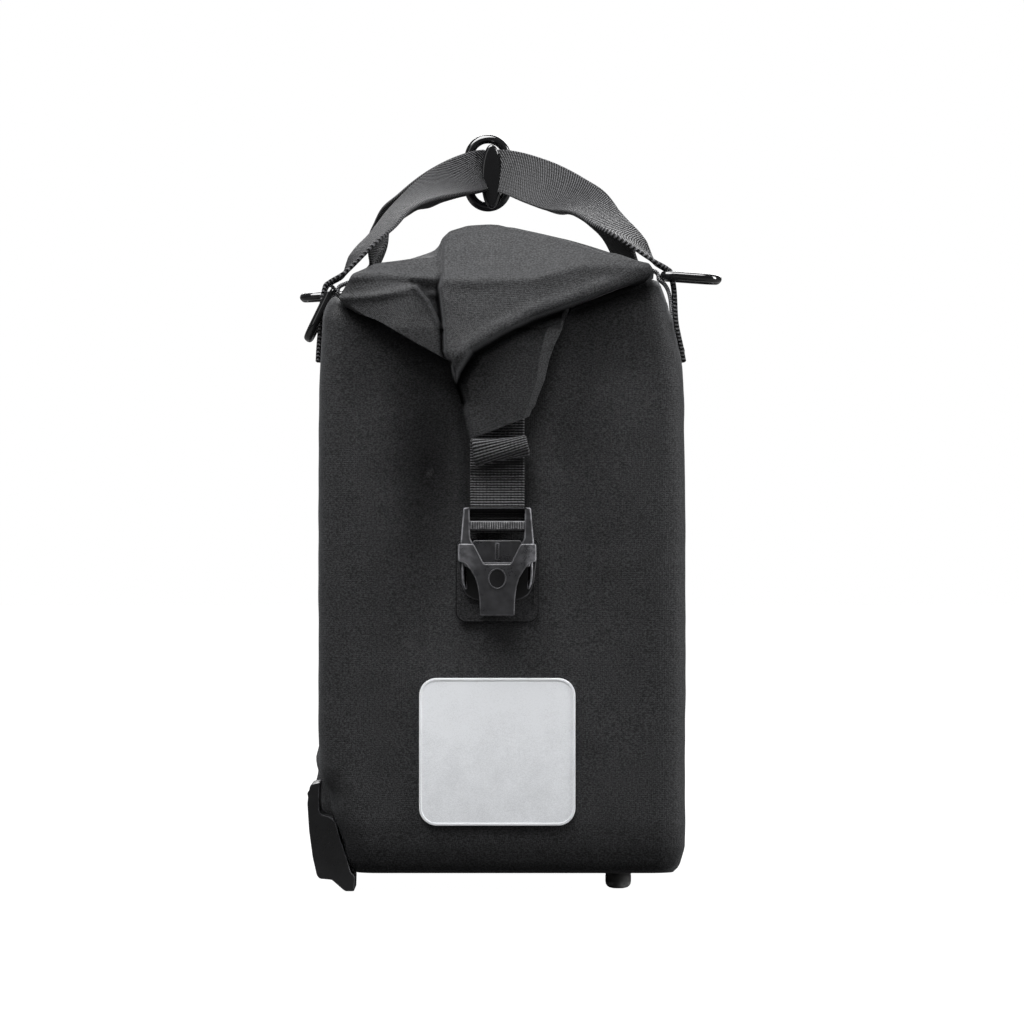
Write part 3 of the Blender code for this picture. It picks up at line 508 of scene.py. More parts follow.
def skin(points, around=False, looped=False, ends=False, across=None, edge=None):
    """Quads between neighbours in a grid of points. around joins the last column to the first, looped the
    last row to the first, and ends closes the first and the last row with one face each. across gives the
    columns' places in the surface map, edge the edge value of each point."""
    rows, columns = points.shape[:2]
    across = lengths(points.swapaxes(0, 1), around) if across is None else np.asarray(across)
    along = lengths(points, looped)
    row = np.arange(rows if looped else rows - 1)
    column = np.arange(columns if around else columns - 1)
    row, column = (part.ravel() for part in np.meshgrid(row, column, indexing="ij"))
    row = np.stack([row, row, row + 1, row + 1], axis=1)
    column = np.stack([column, column + 1, column + 1, column], axis=1)
    faces = ((row % rows) * columns + column % columns).tolist()
    marks = [np.stack([across[column], along[row]], axis=-1).reshape(-1, 2)]
    if ends:
        order = np.arange(columns)
        faces.append(order[::-1].tolist())
        faces.append((order + (rows - 1) * columns).tolist())
        marks.append(np.stack([across[order[::-1]], np.full(columns, along[0])], axis=1))
        marks.append(np.stack([across[order], np.full(columns, along[rows - 1])], axis=1))
    edge = np.zeros((rows, columns)) if edge is None else np.broadcast_to(edge, (rows, columns))
    return {
        "points": points.reshape(-1, 3),
        "faces": faces,
        "marks": np.concatenate(marks),
        "edge": edge.ravel(),
    }


def piece(name, parts, material, nodes=(), sharp=40.0):
    """Join skins into one object that stands for the named solids. Edges sharper than sharp degrees are
    not smoothed."""
    faces = []
    start = 0
    for part in parts:
        faces += [[start + corner for corner in face] for face in part["faces"]]
        start += len(part["points"])
    mesh = bpy.data.meshes.new(name)
    mesh.from_pydata(np.concatenate([part["points"] for part in parts]).tolist(), [], faces)
    marks = np.concatenate([part["marks"] for part in parts]).astype(np.float32)
    mesh.uv_layers.new(name="surface").data.foreach_set("uv", marks.ravel())
    edges = np.concatenate([part["edge"] for part in parts]).astype(np.float32)
    mesh.attributes.new("edge", "FLOAT", "POINT").data.foreach_set("value", edges)
    edit = bmesh.new()
    edit.from_mesh(mesh)
    bmesh.ops.remove_doubles(edit, verts=edit.verts, dist=1e-6)
    bmesh.ops.recalc_face_normals(edit, faces=edit.faces)
    edit.to_mesh(mesh)
    edit.free()
    mesh.shade_smooth()
    mesh.set_sharp_from_angle(angle=math.radians(sharp))
    mesh.materials.append(material)
    made = bpy.data.objects.new(name, mesh)
    bpy.context.scene.collection.objects.link(made)
    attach(made, "root")
    if nodes:
        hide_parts(*nodes)
    print(name, "faces:", len(mesh.polygons))


# %% [markdown]
# Straps, wires and seams follow lines through a few measured places. Blender's own curves could draw them,
# but points in an array can be spaced evenly and can carry a section at once. The slow waves of cloth are
# sums of sines in random directions.

# %% Curve helpers
def smooth_line(points, step):
    """Cubic curve through the points whose slope at each is the mean slope of its two stretches, weighed
    by their lengths; returned at places about step apart."""
    points = np.asarray(points, float)
    run = np.concatenate([[0.0], np.cumsum(np.linalg.norm(np.diff(points, axis=0), axis=1))])
    slopes = np.gradient(points, run, axis=0)
    fine = np.linspace(0, run[-1], 24 * len(points))
    k = np.clip(np.searchsorted(run, fine, side="right") - 1, 0, len(run) - 2)
    span = (run[k + 1] - run[k])[:, None]
    t = ((fine - run[k])[:, None]) / span
    start_part = (1 + 2 * t) * (1 - t) ** 2 * points[k] + t * (1 - t) ** 2 * span * slopes[k]
    end_part = t**2 * (3 - 2 * t) * points[k + 1] - t**2 * (1 - t) * span * slopes[k + 1]
    return even(start_part + end_part, step), run


def even(line, step):
    """The same line with its points about step apart."""
    run = np.concatenate([[0.0], np.cumsum(np.linalg.norm(np.diff(line, axis=0), axis=1))])
    count = max(2, int(round(run[-1] / step)) + 1)
    places = np.linspace(0, run[-1], count)
    return np.stack([np.interp(places, run, line[:, k]) for k in range(line.shape[1])], axis=1)


def unit(vectors):
    """Vectors at length one."""
    return vectors / np.maximum(np.linalg.norm(vectors, axis=-1, keepdims=True), 1e-12)


def carried(path, across, section):
    """Carry a section along a path: section holds (across, out) pairs, out is square to path and across."""
    along = unit(np.gradient(path, axis=0))
    across = unit(across - along * (across * along).sum(axis=1, keepdims=True))
    out = np.cross(along, across)
    section = np.broadcast_to(section, (len(path), *np.shape(section)[-2:]))
    return path[:, None] + across[:, None] * section[..., :1] + out[:, None] * section[..., 1:]


def ripples(points, seed, longest, height, count=10):
    """Sum of sine waves in random directions, from the longest wave down to a quarter of it."""
    chance = np.random.default_rng(seed)
    ways = unit(chance.normal(size=(count, 3)))
    waves = longest / np.linspace(1, 4, count)
    shifts = chance.uniform(0, 2 * np.pi, count)
    turns = np.tensordot(points, (ways * (2 * np.pi / waves)[:, None]).T, axes=1) + shifts
    return height * (np.sin(turns) * (waves / longest)).sum(axis=-1) / math.sqrt(count)


print("helpers ready")

# %% [markdown]
# The bag is one shell of cloth, rounded along its upright corners and drawn in at the foot. It could be
# modelled by pulling a box about. Here its outline seen from above is one formula, repeated at each
# height with that height's reach to the rear and to the front. The skin goes up outside, over the roof,
# through the mouth and down again inside, so that the wall has its real 2 mm.

# %% Sizes of the bag
half_length = 0.200
roof = 0.270
wall = 0.002
corner = 0.011
shoulder = 0.260
bag_rows = np.array([
    # height, rear, front, half length
    (0.0085, 0.0675, 0.0795, 0.1935),
    (0.0113, 0.0705, 0.0822, 0.1970),
    (0.0200, 0.0724, 0.0847, 0.1990),
    (0.0315, 0.0762, 0.0850, 0.2000),
    (0.0360, 0.0788, 0.0850, 0.2000),
    (0.0470, 0.0792, 0.0850, 0.2000),
    (0.0535, 0.0840, 0.0850, 0.2000),
    (0.0780, 0.0848, 0.0850, 0.2000),
    (0.1300, 0.0850, 0.0850, 0.2000),
    (0.1898, 0.0847, 0.0850, 0.2000),
    (0.2350, 0.0842, 0.0840, 0.2000),
    (0.2486, 0.0836, 0.0826, 0.2000),
    (0.2600, 0.0829, 0.0800, 0.2000),
])
print("bag:", 2 * half_length, "long,", roof, "high to its roof")

# %% [markdown]
# Seen from above the bag is a rectangle with rounded corners. A bevelled box would be round there as well,
# but its points wouldn't keep their columns from one height to the next. Here each point knows its corner
# and its direction, so the same columns run from the floor to the roof.

# %% Outline of the bag seen from above
def outline_signs(side_steps, end_steps, corner_steps):
    """Rounded rectangle as four numbers for each point: the share of the way to each side where the
    corner's centre lies, and the direction out from that centre. It starts at the near front corner."""
    parts = []
    for start, (sx, sy) in zip((-90, 0, 90, 180), ((1, -1), (1, 1), (-1, 1), (-1, -1))):
        angle = np.radians(np.linspace(start, start + 90, corner_steps + 1))
        ones = np.ones(len(angle))
        parts.append(np.stack([sx * ones, sy * ones, np.cos(angle), np.sin(angle)], axis=1))
    closed = [*parts, parts[0]]
    full = []
    for part, after, steps in zip(closed, closed[1:], (side_steps, end_steps, side_steps, end_steps)):
        share = np.linspace(0, 1, steps + 1)[1:-1, None]
        full += [part, part[-1] * (1 - share) + after[0] * share]
    return np.concatenate(full)


def bag_grid(rows, radius, signs):
    """Point of the skin from height, rear, front, half length and corner radius: the corner's centre plus
    the radius times the way out."""
    height, rear, front, half, radius = (np.asarray(v, float)[:, None] for v in (*rows.T, radius))
    middle = (front - rear) / 2
    depth = (front + rear) / 2
    x = middle + signs[:, 0] * (depth - radius) + radius * signs[:, 2]
    y = signs[:, 1] * (half - radius) + radius * signs[:, 3]
    return np.stack([x, y, np.broadcast_to(height, x.shape)], axis=-1)


bag_signs = outline_signs(96, 62, 6)
print("points round the bag:", len(bag_signs))

# %% [markdown]
# The creases of the folded end are bent lines across the end panel. Their corners are written as places in
# the picture, so that each can be compared with it, and turned into metres at once. Everything below asks
# how far a point lies from such a line.

# %% Lines of the folded end, as seen from its front
picture_middle = 501.5
picture_floor = 892.5


def seen(*places):
    """Across and height in metres of places on the end panel, given in pixels of the picture."""
    across, down = np.array(places, float).T
    return np.stack([across - picture_middle, picture_floor - down], axis=1) / pixels_per_metre


ply_left = seen(
    (472, 450), (461, 402), (452, 373), (443, 353), (442, 320), (438, 287), (442, 275), (442, 225)
)
ply_crease = seen(
    (461, 402), (456, 386), (460, 373), (473, 353), (500, 337), (533, 320), (590, 300), (652, 276),
    (700, 262),
)
main_ridge = seen((438, 281), (480, 281), (533, 279), (583, 267), (650, 271))
flap_sides = [
    seen((563, 308), (540, 380), (530, 417), (525, 440), (525, 500)),
    seen((443, 356), (452, 373), (460, 400), (467, 442), (467, 500)),
]
roll_edge = seen((500, 222), (513, 225.5), (550, 234), (587, 246), (606, 254))
wing_ridges = [
    seen((353, 277), (380, 275), (433, 281)),
    seen((340, 300), (377, 297), (415, 288), (437, 293)),
]
wing_fold = seen((415, 288), (427, 301), (441, 328))
right_under = seen((563, 310), (590, 300), (650, 277), (660, 280), (667, 297), (672, 315), (676, 330))
left_under = seen((316, 330), (321, 298), (334, 294), (340, 300), (443, 358), (452, 362))


def fold_bottom(x):
    """Height of the crease under the fold at a place across the end; 0 where there is none."""
    right = np.interp(x, right_under[:, 0], right_under[:, 1], left=0, right=0)
    return np.maximum(right, np.interp(x, left_under[:, 0], left_under[:, 1], left=0, right=0))


def near_an_end(y):
    """0 along the middle of the bag's length, rising to 1 at both ends."""
    return np.clip((np.abs(y) - 0.115) / 0.060, 0, 1)


def from_line(x, z, line):
    """Distance of points from a bent line, positive on its left when walking from first to last point."""
    start, way = line[:-1], np.diff(line, axis=0)
    dx = x[..., None] - start[:, 0]
    dz = z[..., None] - start[:, 1]
    share = np.clip((dx * way[:, 0] + dz * way[:, 1]) / (way**2).sum(axis=1), 0, 1)
    gap = np.hypot(dx - share * way[:, 0], dz - share * way[:, 1])
    nearest = gap.argmin(axis=-1)[..., None]
    side = np.sign(np.take_along_axis(way[:, 0] * dz - way[:, 1] * dx, nearest, -1))
    return (np.take_along_axis(gap, nearest, -1) * side)[..., 0]


def step(distance, width):
    """Rises smoothly from 0 to 1 across a line, over about width."""
    return 0.5 + 0.5 * np.tanh(2 * distance / width)


def bell(distance, width):
    """1 on a line, fading to 0 about two widths away."""
    return np.exp(-((distance / width) ** 2))


print("ridge of the fold:", round(float(main_ridge[:, 1].max()), 4), "high")

# %% [markdown]
# Cloth over a stiff liner is never flat. The long panels belly out a little, the end panels have hollows
# beside the buckled strap, and slow waves run everywhere. A cloth simulation would find its own hollows;
# these are placed where the picture shows them.

# %% Softness of the cloth
dents = np.array([
    # across, height, depth, half width, half height
    (-0.034, 0.196, 0.0055, 0.0110, 0.030),
    (-0.030, 0.140, 0.0030, 0.0100, 0.022),
    (0.030, 0.205, 0.0042, 0.0120, 0.028),
    (0.034, 0.140, 0.0026, 0.0110, 0.024),
    (-0.058, 0.235, 0.0016, 0.0140, 0.018),
    (0.055, 0.245, 0.0026, 0.0160, 0.014),
    (0.058, 0.100, 0.0012, 0.0120, 0.030),
])


def soften(points):
    """Belly of the long panels, hollows of the end panels and shallow waves everywhere: each hollow is a
    bell curve of the distance from its centre. At both ends the top edge rises to the fold's creases, and
    between the hooks the rear panel is not drawn in."""
    x, y, z = points[..., 0], points[..., 1], points[..., 2]
    belly = 0.003 * np.maximum(0, 1 - (y / 0.100) ** 2) ** 2
    rise = np.clip((z - 0.050) / (shoulder - 0.050), 0, 1)
    hollow = np.zeros(x.shape)
    for across, height, depth, wide, tall in dents:
        distance = ((x - across) / wide) ** 2 + ((z - height) / tall) ** 2
        hollow = hollow + depth * np.exp(-0.5 * distance)
    at_end = np.clip(np.abs(y) / half_length, 0, 1) ** 8
    free = np.clip((z - 0.012) / 0.04, 0, 1) * np.clip((0.272 - z) / 0.03, 0, 1)
    slow = ripples(points, 3, 0.070, 0.0010) * free
    sag = 0.0009 * np.sin(y / 0.021 + 3 * np.sin(z / 0.03)) * np.clip((z - 0.20) / 0.05, 0, 1) * free
    sx = np.clip(x / 0.080, -1, 1)
    moved = points.copy()
    moved[..., 0] += sx * (belly * np.sin(np.pi * rise) + (slow + sag) * (1 - at_end) * np.abs(sx) ** 6)
    flat = np.clip(1 - (x / 0.08) ** 8, 0, 1)
    seam = 0.0007 * bell(np.abs(x) - 0.0772, 0.0007)
    moved[..., 1] -= np.sign(y) * at_end * (seam + hollow * flat - 0.6 * np.minimum(slow, 0.0003) * flat)
    under_fold = np.maximum(0, fold_bottom(x) - 0.0003 - roof) * near_an_end(y)
    moved[..., 2] += under_fold * np.clip((z - 0.235) / 0.035, 0, 1) ** 1.5
    beside_hook = np.clip((0.150 - np.abs(y)) / 0.008, 0, 1) * np.clip((z - 0.024) / 0.012, 0, 1)
    missing = np.maximum(0, 0.0866 - np.interp(z, bag_rows[:, 0], bag_rows[:, 1]))
    moved[..., 0] -= np.where(x < -0.060, missing * beside_hook * np.clip((0.070 - z) / 0.010, 0, 1), 0)
    return moved


def fold_shade(x, y, z):
    """How deep in shadow the end panel lies, 0 to 1: close under the fold, beside the flap, in the hollow
    left of the strap and at the foot."""
    below = fold_bottom(x) - z
    shade = 0.75 * np.exp(-((below / 0.0070) ** 2)) * (below > -0.001)
    for line in flap_sides:
        shade = np.maximum(shade, 0.55 * bell(from_line(x, z, line), 0.0060))
    hollow = 0.62 * np.exp(-(((x + 0.032) / 0.014) ** 2) - ((z - 0.196) / 0.036) ** 2)
    low = 0.50 * np.exp(-(((z - 0.006) / 0.019) ** 2))
    return np.clip(np.maximum(shade, np.maximum(hollow, low)), 0, 1) * (np.abs(y) > 0.194)


print("hollows:", len(dents))

# %% [markdown]
# The bag is open under its roll. A Solidify modifier could thicken a single sheet, but the rim of the mouth
# would be hard to place. Here the rows of the skin are listed one after the other: the floor, the outside,
# the roof, the mouth, and the same way back inside.

# %% The bag's shell
heights = np.concatenate([np.linspace(0.0085, 0.060, 26), np.linspace(0.060, shoulder, 82)[1:]])
reaches = [np.interp(heights, bag_rows[:, 0], bag_rows[:, k]) for k in (1, 2, 3)]
upright = np.stack([heights, *reaches], axis=1)
smooth = np.convolve(np.pad(upright[:, 1], 2, mode="edge"), np.ones(5) / 5, mode="valid")
upright[4:, 1] = smooth[4:]
bend = np.radians(np.linspace(0, 90, 8))[1:, None]
edge_rows = np.concatenate(
    [shoulder + 0.010 * np.sin(bend), upright[-1, 1:] - (1 - np.cos(bend)) * (0.006, 0.006, 0.010)], axis=1
)
outside = np.concatenate([upright, edge_rows])
roof_shares = np.linspace(0, 1, 9)[1:, None]
mouth_row = np.array([roof, 0.006, 0.006, 0.170])
roof_rows = outside[-1] * (1 - roof_shares) + mouth_row * roof_shares
base_shares = np.array([0.12, 0.5, 0.8, 0.93])[:, None]
base_row = np.array([0.0085, 0.004, 0.004, 0.120])
base_rows = base_row * (1 - base_shares) + outside[0] * base_shares
skin_rows = np.concatenate([base_rows, outside, roof_rows])
inner_heights = np.concatenate([np.linspace(shoulder, 0.0530, 30), np.linspace(0.0500, 0.0105, 14)])
inner_reaches = [np.interp(inner_heights, bag_rows[:, 0], bag_rows[:, k]) - wall for k in (1, 2, 3)]
inner_rows = np.stack([inner_heights, *inner_reaches], axis=1)
inner_edge = np.array([roof - wall, 0, 0, 0]) + np.array([0, *(edge_rows[-1, 1:] - wall)])
inner_mouth = np.array([roof - wall, 0.006, 0.006, 0.170])
inner_floor = np.array([0.0105, 0.004, 0.004, 0.120])
skin_rows = np.concatenate([skin_rows, [inner_mouth, inner_edge], inner_rows, [inner_floor]])
radii = np.minimum(corner, 0.6 * np.minimum(skin_rows[:, 1], skin_rows[:, 2]))
bag_points = soften(bag_grid(skin_rows, radii, bag_signs))
bag_shade = fold_shade(*np.moveaxis(bag_points, -1, 0))
bag_part = skin(bag_points, around=True, ends=True, edge=bag_shade)
piece("bag_skin", [bag_part], cloth, ["bag_body"], 60.0)
print("bag skin box:", np.round([bag_points.min((0, 1)), bag_points.max((0, 1))], 4).tolist())

# %% [markdown]
# The mouth of the bag is rolled up into a flat bolster and its two ends are folded down like the ends of a
# wrapped parcel. The solid gives the rounded mass. The rows below are half its outline seen along the bag,
# at the ends and halfway, and the flap's left and right edge on the way down. Both are shares of the
# bag's half depth and of the roll's height, so the roll follows the bag.

# %% Section of the rolled top
half_depth = 0.085
crown_height = 0.038
crown_rows = np.array([
    # end across, end rise, middle across, middle rise
    (-0.883, 0.090, -0.62, 0.10),
    (-0.812, 0.371, -0.62, 0.36),
    (-0.681, 0.530, -0.59, 0.52),
    (-0.480, 0.575, -0.53, 0.64),
    (-0.352, 0.600, -0.43, 0.72),
    (-0.328, 0.830, -0.35, 0.78),
    (-0.282, 0.930, -0.30, 0.92),
    (-0.189, 1.000, -0.20, 0.97),
    (-0.064, 1.018, -0.08, 0.99),
    (0.062, 1.000, 0.05, 0.98),
    (0.280, 0.884, 0.20, 0.94),
    (0.466, 0.763, 0.34, 0.88),
    (0.646, 0.616, 0.48, 0.78),
    (0.794, 0.492, 0.58, 0.56),
    (0.825, 0.400, 0.62, 0.20),
])
flap_rows = np.array([
    # down, left, right
    (1.00, -0.180, 0.150),
    (0.78, -0.205, 0.165),
    (0.62, -0.225, 0.195),
    (0.46, -0.270, 0.235),
    (0.30, -0.330, 0.255),
    (0.16, -0.450, 0.285),
    (0.00, -0.620, 0.330),
])
crown_count = 190
crown_places = np.linspace(0, len(crown_rows) - 1, crown_count)
crown_columns = [np.interp(crown_places, range(len(crown_rows)), column) for column in crown_rows.T]
crown_line = np.stack(crown_columns, axis=1)


def rounded(section):
    """Average each point with its neighbours, ends kept."""
    for _ in range(3):
        mean = (section[:-2] + section[1:-1] + section[2:]) / 3
        section = np.concatenate([section[:1], mean, section[-1:]])
    return section


crown_ends = rounded(crown_line[:, :2] * (half_depth, crown_height))
crown_middle = rounded(crown_line[:, 2:] * (half_depth, crown_height))
print("crown at the ends:", np.round([crown_ends.min(0), crown_ends.max(0)], 4).tolist())

# %% [markdown]
# The plies, ridges and creases could be sculpted by hand. Here each is one of the lines above, and the
# distance of a point from its line sets how far the cloth stands out: a step where a ply ends, a bell
# curve for a ridge, and a negative one for the groove in a crease.

# %% Relief of the folded end
def lesser(first, second, width):
    """The lesser of two values, with the kink between them rounded over width."""
    return (first + second - np.sqrt((first - second) ** 2 + width**2)) / 2


def fold_masks(x, z):
    """Share of the upper ply and share of the wing left of it, each 0 to 1."""
    left = from_line(x, z, ply_left)
    inside = np.minimum(from_line(x, z, ply_crease), -left)
    ply = step(inside - 0.0004, 0.0012) * np.clip((z - 0.2255) / 0.004, 0, 1)
    return ply, (1 - ply) * step(left, 0.0012) * np.clip((z - 0.236) / 0.006, 0, 1)


def fold_front(x, z, ply):
    """How far out the folded end reaches. Above its ridge it leans back to the roll at 1.3 to 1, below it
    the cloth still hangs outwards, so both stretches catch the light from above."""
    ridge_z = np.interp(x, main_ridge[:, 0], main_ridge[:, 1])
    top = lesser(0.2100 - 1.30 * (z - ridge_z), 0.2100 + 0.27 * (ridge_z - z), 0.0012)
    hanging = np.interp(z, (0.226, 0.232, 0.240, 0.250), (0.2075, 0.2120, 0.2165, 0.2200))
    top = lesser(top, hanging, 0.0010)
    top = top - np.maximum(top - 0.2050, 0) * np.clip((x - 0.026) / 0.044, 0, 1) ** 1.4
    wing = np.interp(z, (0.2460, 0.2600, 0.2755, 0.2845), (0.2125, 0.2115, 0.2085, 0.2035))
    wing = lesser(wing, 0.2035 - 1.30 * (z - 0.2845), 0.0010)
    wing = wing - np.maximum(wing - 0.2045, 0) * np.clip((-0.048 - x) / 0.026, 0, 1)
    return wing * (1 - ply) + top * ply


def fold_relief(x, z, ply):
    """Small ridges and grooves on the folded end, as distances out from it, and the painted shade of each
    place, 0 to 1, deepest below its creases, in the wing's pocket and beside the ply's left edge."""
    crease = from_line(x, z, ply_crease)
    relief = 0.0010 * bell(crease - 0.0040, 0.0030) * ply
    relief -= 0.0022 * bell(crease + 0.0014, 0.0018) * (1 - ply)
    relief += 0.0006 * bell(from_line(x, z, main_ridge), 0.0030) * ply
    edge = from_line(x, z, roll_edge)
    relief += 0.0011 * (step(-edge, 0.0008) - 1) * bell(edge, 0.004)
    for line in wing_ridges:
        relief += 0.0012 * bell(from_line(x, z, line), 0.0020) * (1 - ply)
    fold = from_line(x, z, wing_fold)
    relief += 0.0012 * bell(fold, 0.0016) * (1 - ply)
    pocket = step(fold - 0.0010, 0.0016) * bell(fold, 0.0110) * (1 - ply)
    pocket *= np.clip((0.2830 - z) / 0.005, 0, 1)
    beside = from_line(x, z, ply_left) - 0.0006
    # Painted shade: just below the crease, in the wing's pocket and beside the ply's left edge.
    depth = bell(crease + 0.0006, 0.0018) * (1 - 0.6 * ply) * (x > -0.0235) + 0.55 * pocket
    depth += 0.8 * bell(beside, 0.0010) * (1 - ply) * np.clip((0.2860 - z) / 0.004, 0, 1)
    return relief - 0.0040 * pocket, np.clip(depth, 0, 1)


ridge_out = fold_front(main_ridge[:, 0], main_ridge[:, 1], 1.0)
print("ridge of the fold, from the bag's middle:", np.round(ridge_out, 4).tolist())

# %% [markdown]
# The flap that is folded down widens upwards from its tip. Then the cloth turns over the end's edge and
# goes along the bag, where the roll grows narrower. Three stretches of rows go that way, and the columns
# are shares of the way from the left edge to the right one.

# %% Rows of the rolled top
cloth_gap = 0.0003
strap_lift = 0.0023
seat = 0.010 + cloth_gap
half_top = half_length - 0.010
downs = np.linspace(1, 0, 84)
flap_left, flap_right = (
    half_depth * np.interp(downs, flap_rows[::-1, 0], flap_rows[::-1, k]) for k in (1, 2)
)
across_shares = np.linspace(0, 1, crown_count)
flap_x = flap_left[:, None] + (flap_right - flap_left)[:, None] * across_shares
flap_edge = np.minimum(1, 8 * np.minimum(across_shares, 1 - across_shares) + 0.30)
flap_rise = np.broadcast_to(0.0050 * flap_edge, flap_x.shape)
flap_z = shoulder - downs * 0.0515
flap_foot = 0.011 * across_shares * np.clip((downs[:, None] - 0.70) / 0.30, 0, 1)
flap_y = half_length + cloth_gap + strap_lift * np.minimum(1, downs / 0.16)
turn_angles = np.radians(np.linspace(0, 90, 77))[1:]
turn_share = np.sin(turn_angles)[:, None]
turn_x = flap_x[-1] * (1 - turn_share) + crown_ends[:, 0] * turn_share
turn_rise = flap_rise[-1] * (1 - turn_share) + crown_ends[:, 1] * turn_share
along_shares = np.linspace(1, 0, 37)[1:]
middle_share = np.clip((1 - along_shares[:, None]) / 0.42, 0, 1) ** 0.8
along_x = crown_ends[:, 0] * (1 - middle_share) + crown_middle[:, 0] * middle_share
along_rise = crown_ends[:, 1] * (1 - middle_share) + crown_middle[:, 1] * middle_share
print("rows of the rolled top:", len(downs) + len(turn_angles) + len(along_shares))

# %% [markdown]
# The roll is one grid. Its rows climb the folded end from the flap's tip, turn over the end's edge and run
# along the bag to its middle; its columns go across. Near the ends the plain height and reach of each
# point give way to those of the creased fold.

# %% Outside of the rolled top
roll_x = np.concatenate([flap_x, turn_x, along_x])
roll_rise = np.concatenate([flap_rise, turn_rise, along_rise])
roll_out = np.concatenate([np.ones(len(downs)), np.cos(turn_angles), np.zeros(len(along_shares))])[:, None]
roll_up = np.sqrt(1 - roll_out**2)
roll_y = np.concatenate([flap_y, half_top + seat * np.cos(turn_angles), half_top * along_shares])[:, None]
roll_z = np.concatenate(
    [flap_z, shoulder + seat * np.sin(turn_angles), np.full(len(along_shares), roof + cloth_gap)]
)
roll_z = roll_z[:, None] + np.concatenate([flap_foot, np.zeros((len(turn_x) + len(along_x), crown_count))])
raw_z = roll_z + roll_rise * roll_up
in_front = np.clip((roll_y - 0.1915) / 0.004, 0, 1)
tip_lip = 0.0018 * in_front * np.clip((np.abs(roll_x) - 0.058) / 0.008, 0, 1)
outer_z = np.maximum(raw_z, fold_bottom(roll_x) * near_an_end(roll_y) - tip_lip)
ply_mask, wing_mask = fold_masks(roll_x, outer_z)
front = fold_front(roll_x, outer_z, ply_mask)
over = np.clip(ply_mask + wing_mask + step(outer_z - 0.279, 0.004), 0, 1)
plain = np.minimum(roll_y + roll_rise * roll_out, 0.2078)
outer_y = plain * (1 - over) + front * over
outer_y = np.where(raw_z < outer_z, np.minimum(outer_y, plain + 0.6 * (front - plain)), outer_y)
end_rows = len(downs) + len(turn_angles)
outer_y[end_rows:] = outer_y[end_rows - 1] * along_shares[:, None]
# The second value is painted shade, which darkens the cloth below the creases and in the wing's pocket.
relief, painted_crease_shade = fold_relief(roll_x, outer_z, ply_mask)
relief = relief * near_an_end(roll_y)
painted_crease_shade = painted_crease_shade * (roll_y > 0.19)
lean = step(outer_z - 0.2845, 0.006)
outer_y += relief * (1 - 0.5 * lean) * np.minimum(1, 2 * roll_out + 0.3) * near_an_end(roll_y)
outer_z = outer_z + relief * (0.30 + 0.5 * lean) * (roll_up > 0)
print("folded end reaches", round(float(outer_y.max()), 4), "from the bag's middle")

# %% [markdown]
# The roll lies on the roof and its folded ends lie on the end panels, so its underside follows the same
# rows without their rise, on fewer columns. Both ends of such a bag are alike: one half is worked out,
# given a slow wave so that no long line is quite straight, and mirrored.

# %% Underside and mirrored end of the rolled top
under = np.linspace(crown_count - 1, 0, 26).round().astype(int)
inner_x = roll_x[:, under]
inner_y = np.broadcast_to(roll_y, inner_x.shape)
inner_z = np.maximum(roll_z[:, under], fold_bottom(inner_x) * near_an_end(inner_y) - tip_lip[:, under])
half_roll = np.concatenate(
    [np.stack([roll_x, outer_y, outer_z], axis=-1), np.stack([inner_x, inner_y, inner_z], axis=-1)], axis=1
)
half_roll += 0.0005 * ripples(half_roll, 8, 0.045, 1.0)[..., None] * np.array([0.0, 1.0, 0.6])
roll_near = half_roll * (1, -1, 1)
roll_points = np.concatenate([roll_near, half_roll[-2::-1]])
painted_crease_shade = np.concatenate([painted_crease_shade, np.zeros(inner_x.shape)], axis=1)
painted_crease_shade = np.concatenate([painted_crease_shade, painted_crease_shade[-2::-1]])
roll_part = skin(roll_points, around=True, ends=True, edge=painted_crease_shade)
piece("rolled_top", [roll_part], cloth, ["roll_closure"], 55.0)
print("rolled top box:", np.round([roll_points.min((0, 1)), roll_points.max((0, 1))], 4).tolist())

# %% [markdown]
# Straps are flat woven tape. The section is a flat oval with thin rounded selvedges, carried along the
# strap's path; where the strap stands on edge, only the direction of its width turns. Twisted curves made
# from Blender's own curve bevels would turn on their own between points, so the turn is worked out here.

# %% Section of a strap
strap_width = 0.025
strap_thickness = 0.002
across_side = np.array([0.30, 0.55, 0.78, 0.90, 0.955, 0.985, 1.0])
rise_side = np.array([0.94, 0.92, 0.94, 1.0, 0.96, 0.72, 0.30])
across_half = np.concatenate([-across_side[::-1], [0.0], across_side])
rise_half = np.concatenate([rise_side[::-1], [0.92], rise_side])
strap_section = np.concatenate(
    [np.stack([across_half, rise_half], axis=1), np.stack([across_half[::-1], -rise_half[::-1]], axis=1)]
)
strap_marks = np.concatenate([strap_section[:, 0], strap_section[:1, 0]])


def strap(path, across, width, thickness, uneven=1.0, narrow=0.0):
    """Webbing along a path. across is the direction of its width at each point, uneven multiplies its
    thickness there and narrow is the share by which it is gathered."""
    section = strap_section * (width / 2, thickness / 2)
    section = np.broadcast_to(section, (len(path), *section.shape)).copy()
    section[..., 0] *= 1 - np.broadcast_to(narrow, len(path))[:, None]
    section[..., 1] *= np.broadcast_to(uneven, len(path))[:, None]
    across = np.broadcast_to(across, path.shape)
    return skin(carried(path, across, section), around=True, ends=True, across=strap_marks * width / 2)


print("points round a strap:", len(strap_section))

# %% [markdown]
# At each of four corners the handle's webbing comes down to a ring, turns round its bar and runs down the
# long panel, where it is sewn. The ring's place there decides the webbing's path, so it comes first.

# %% Corners where the handles are held
bar_places = {
    # name: side, end, bar's place across, bar's height, how far the ring has dropped in degrees
    "rear_near": (-1, -1, 0.0800, 0.2800, 64.0),
    "front_near": (1, -1, 0.0765, 0.2865, 4.0),
    "rear_far": (-1, 1, 0.0765, 0.2865, 4.0),
    "front_far": (1, 1, 0.0800, 0.2800, 64.0),
}
ring_y = 0.130
wire = 0.004
tab_thickness = 0.0012
tail_heights = np.array([0.262, 0.253, 0.246])


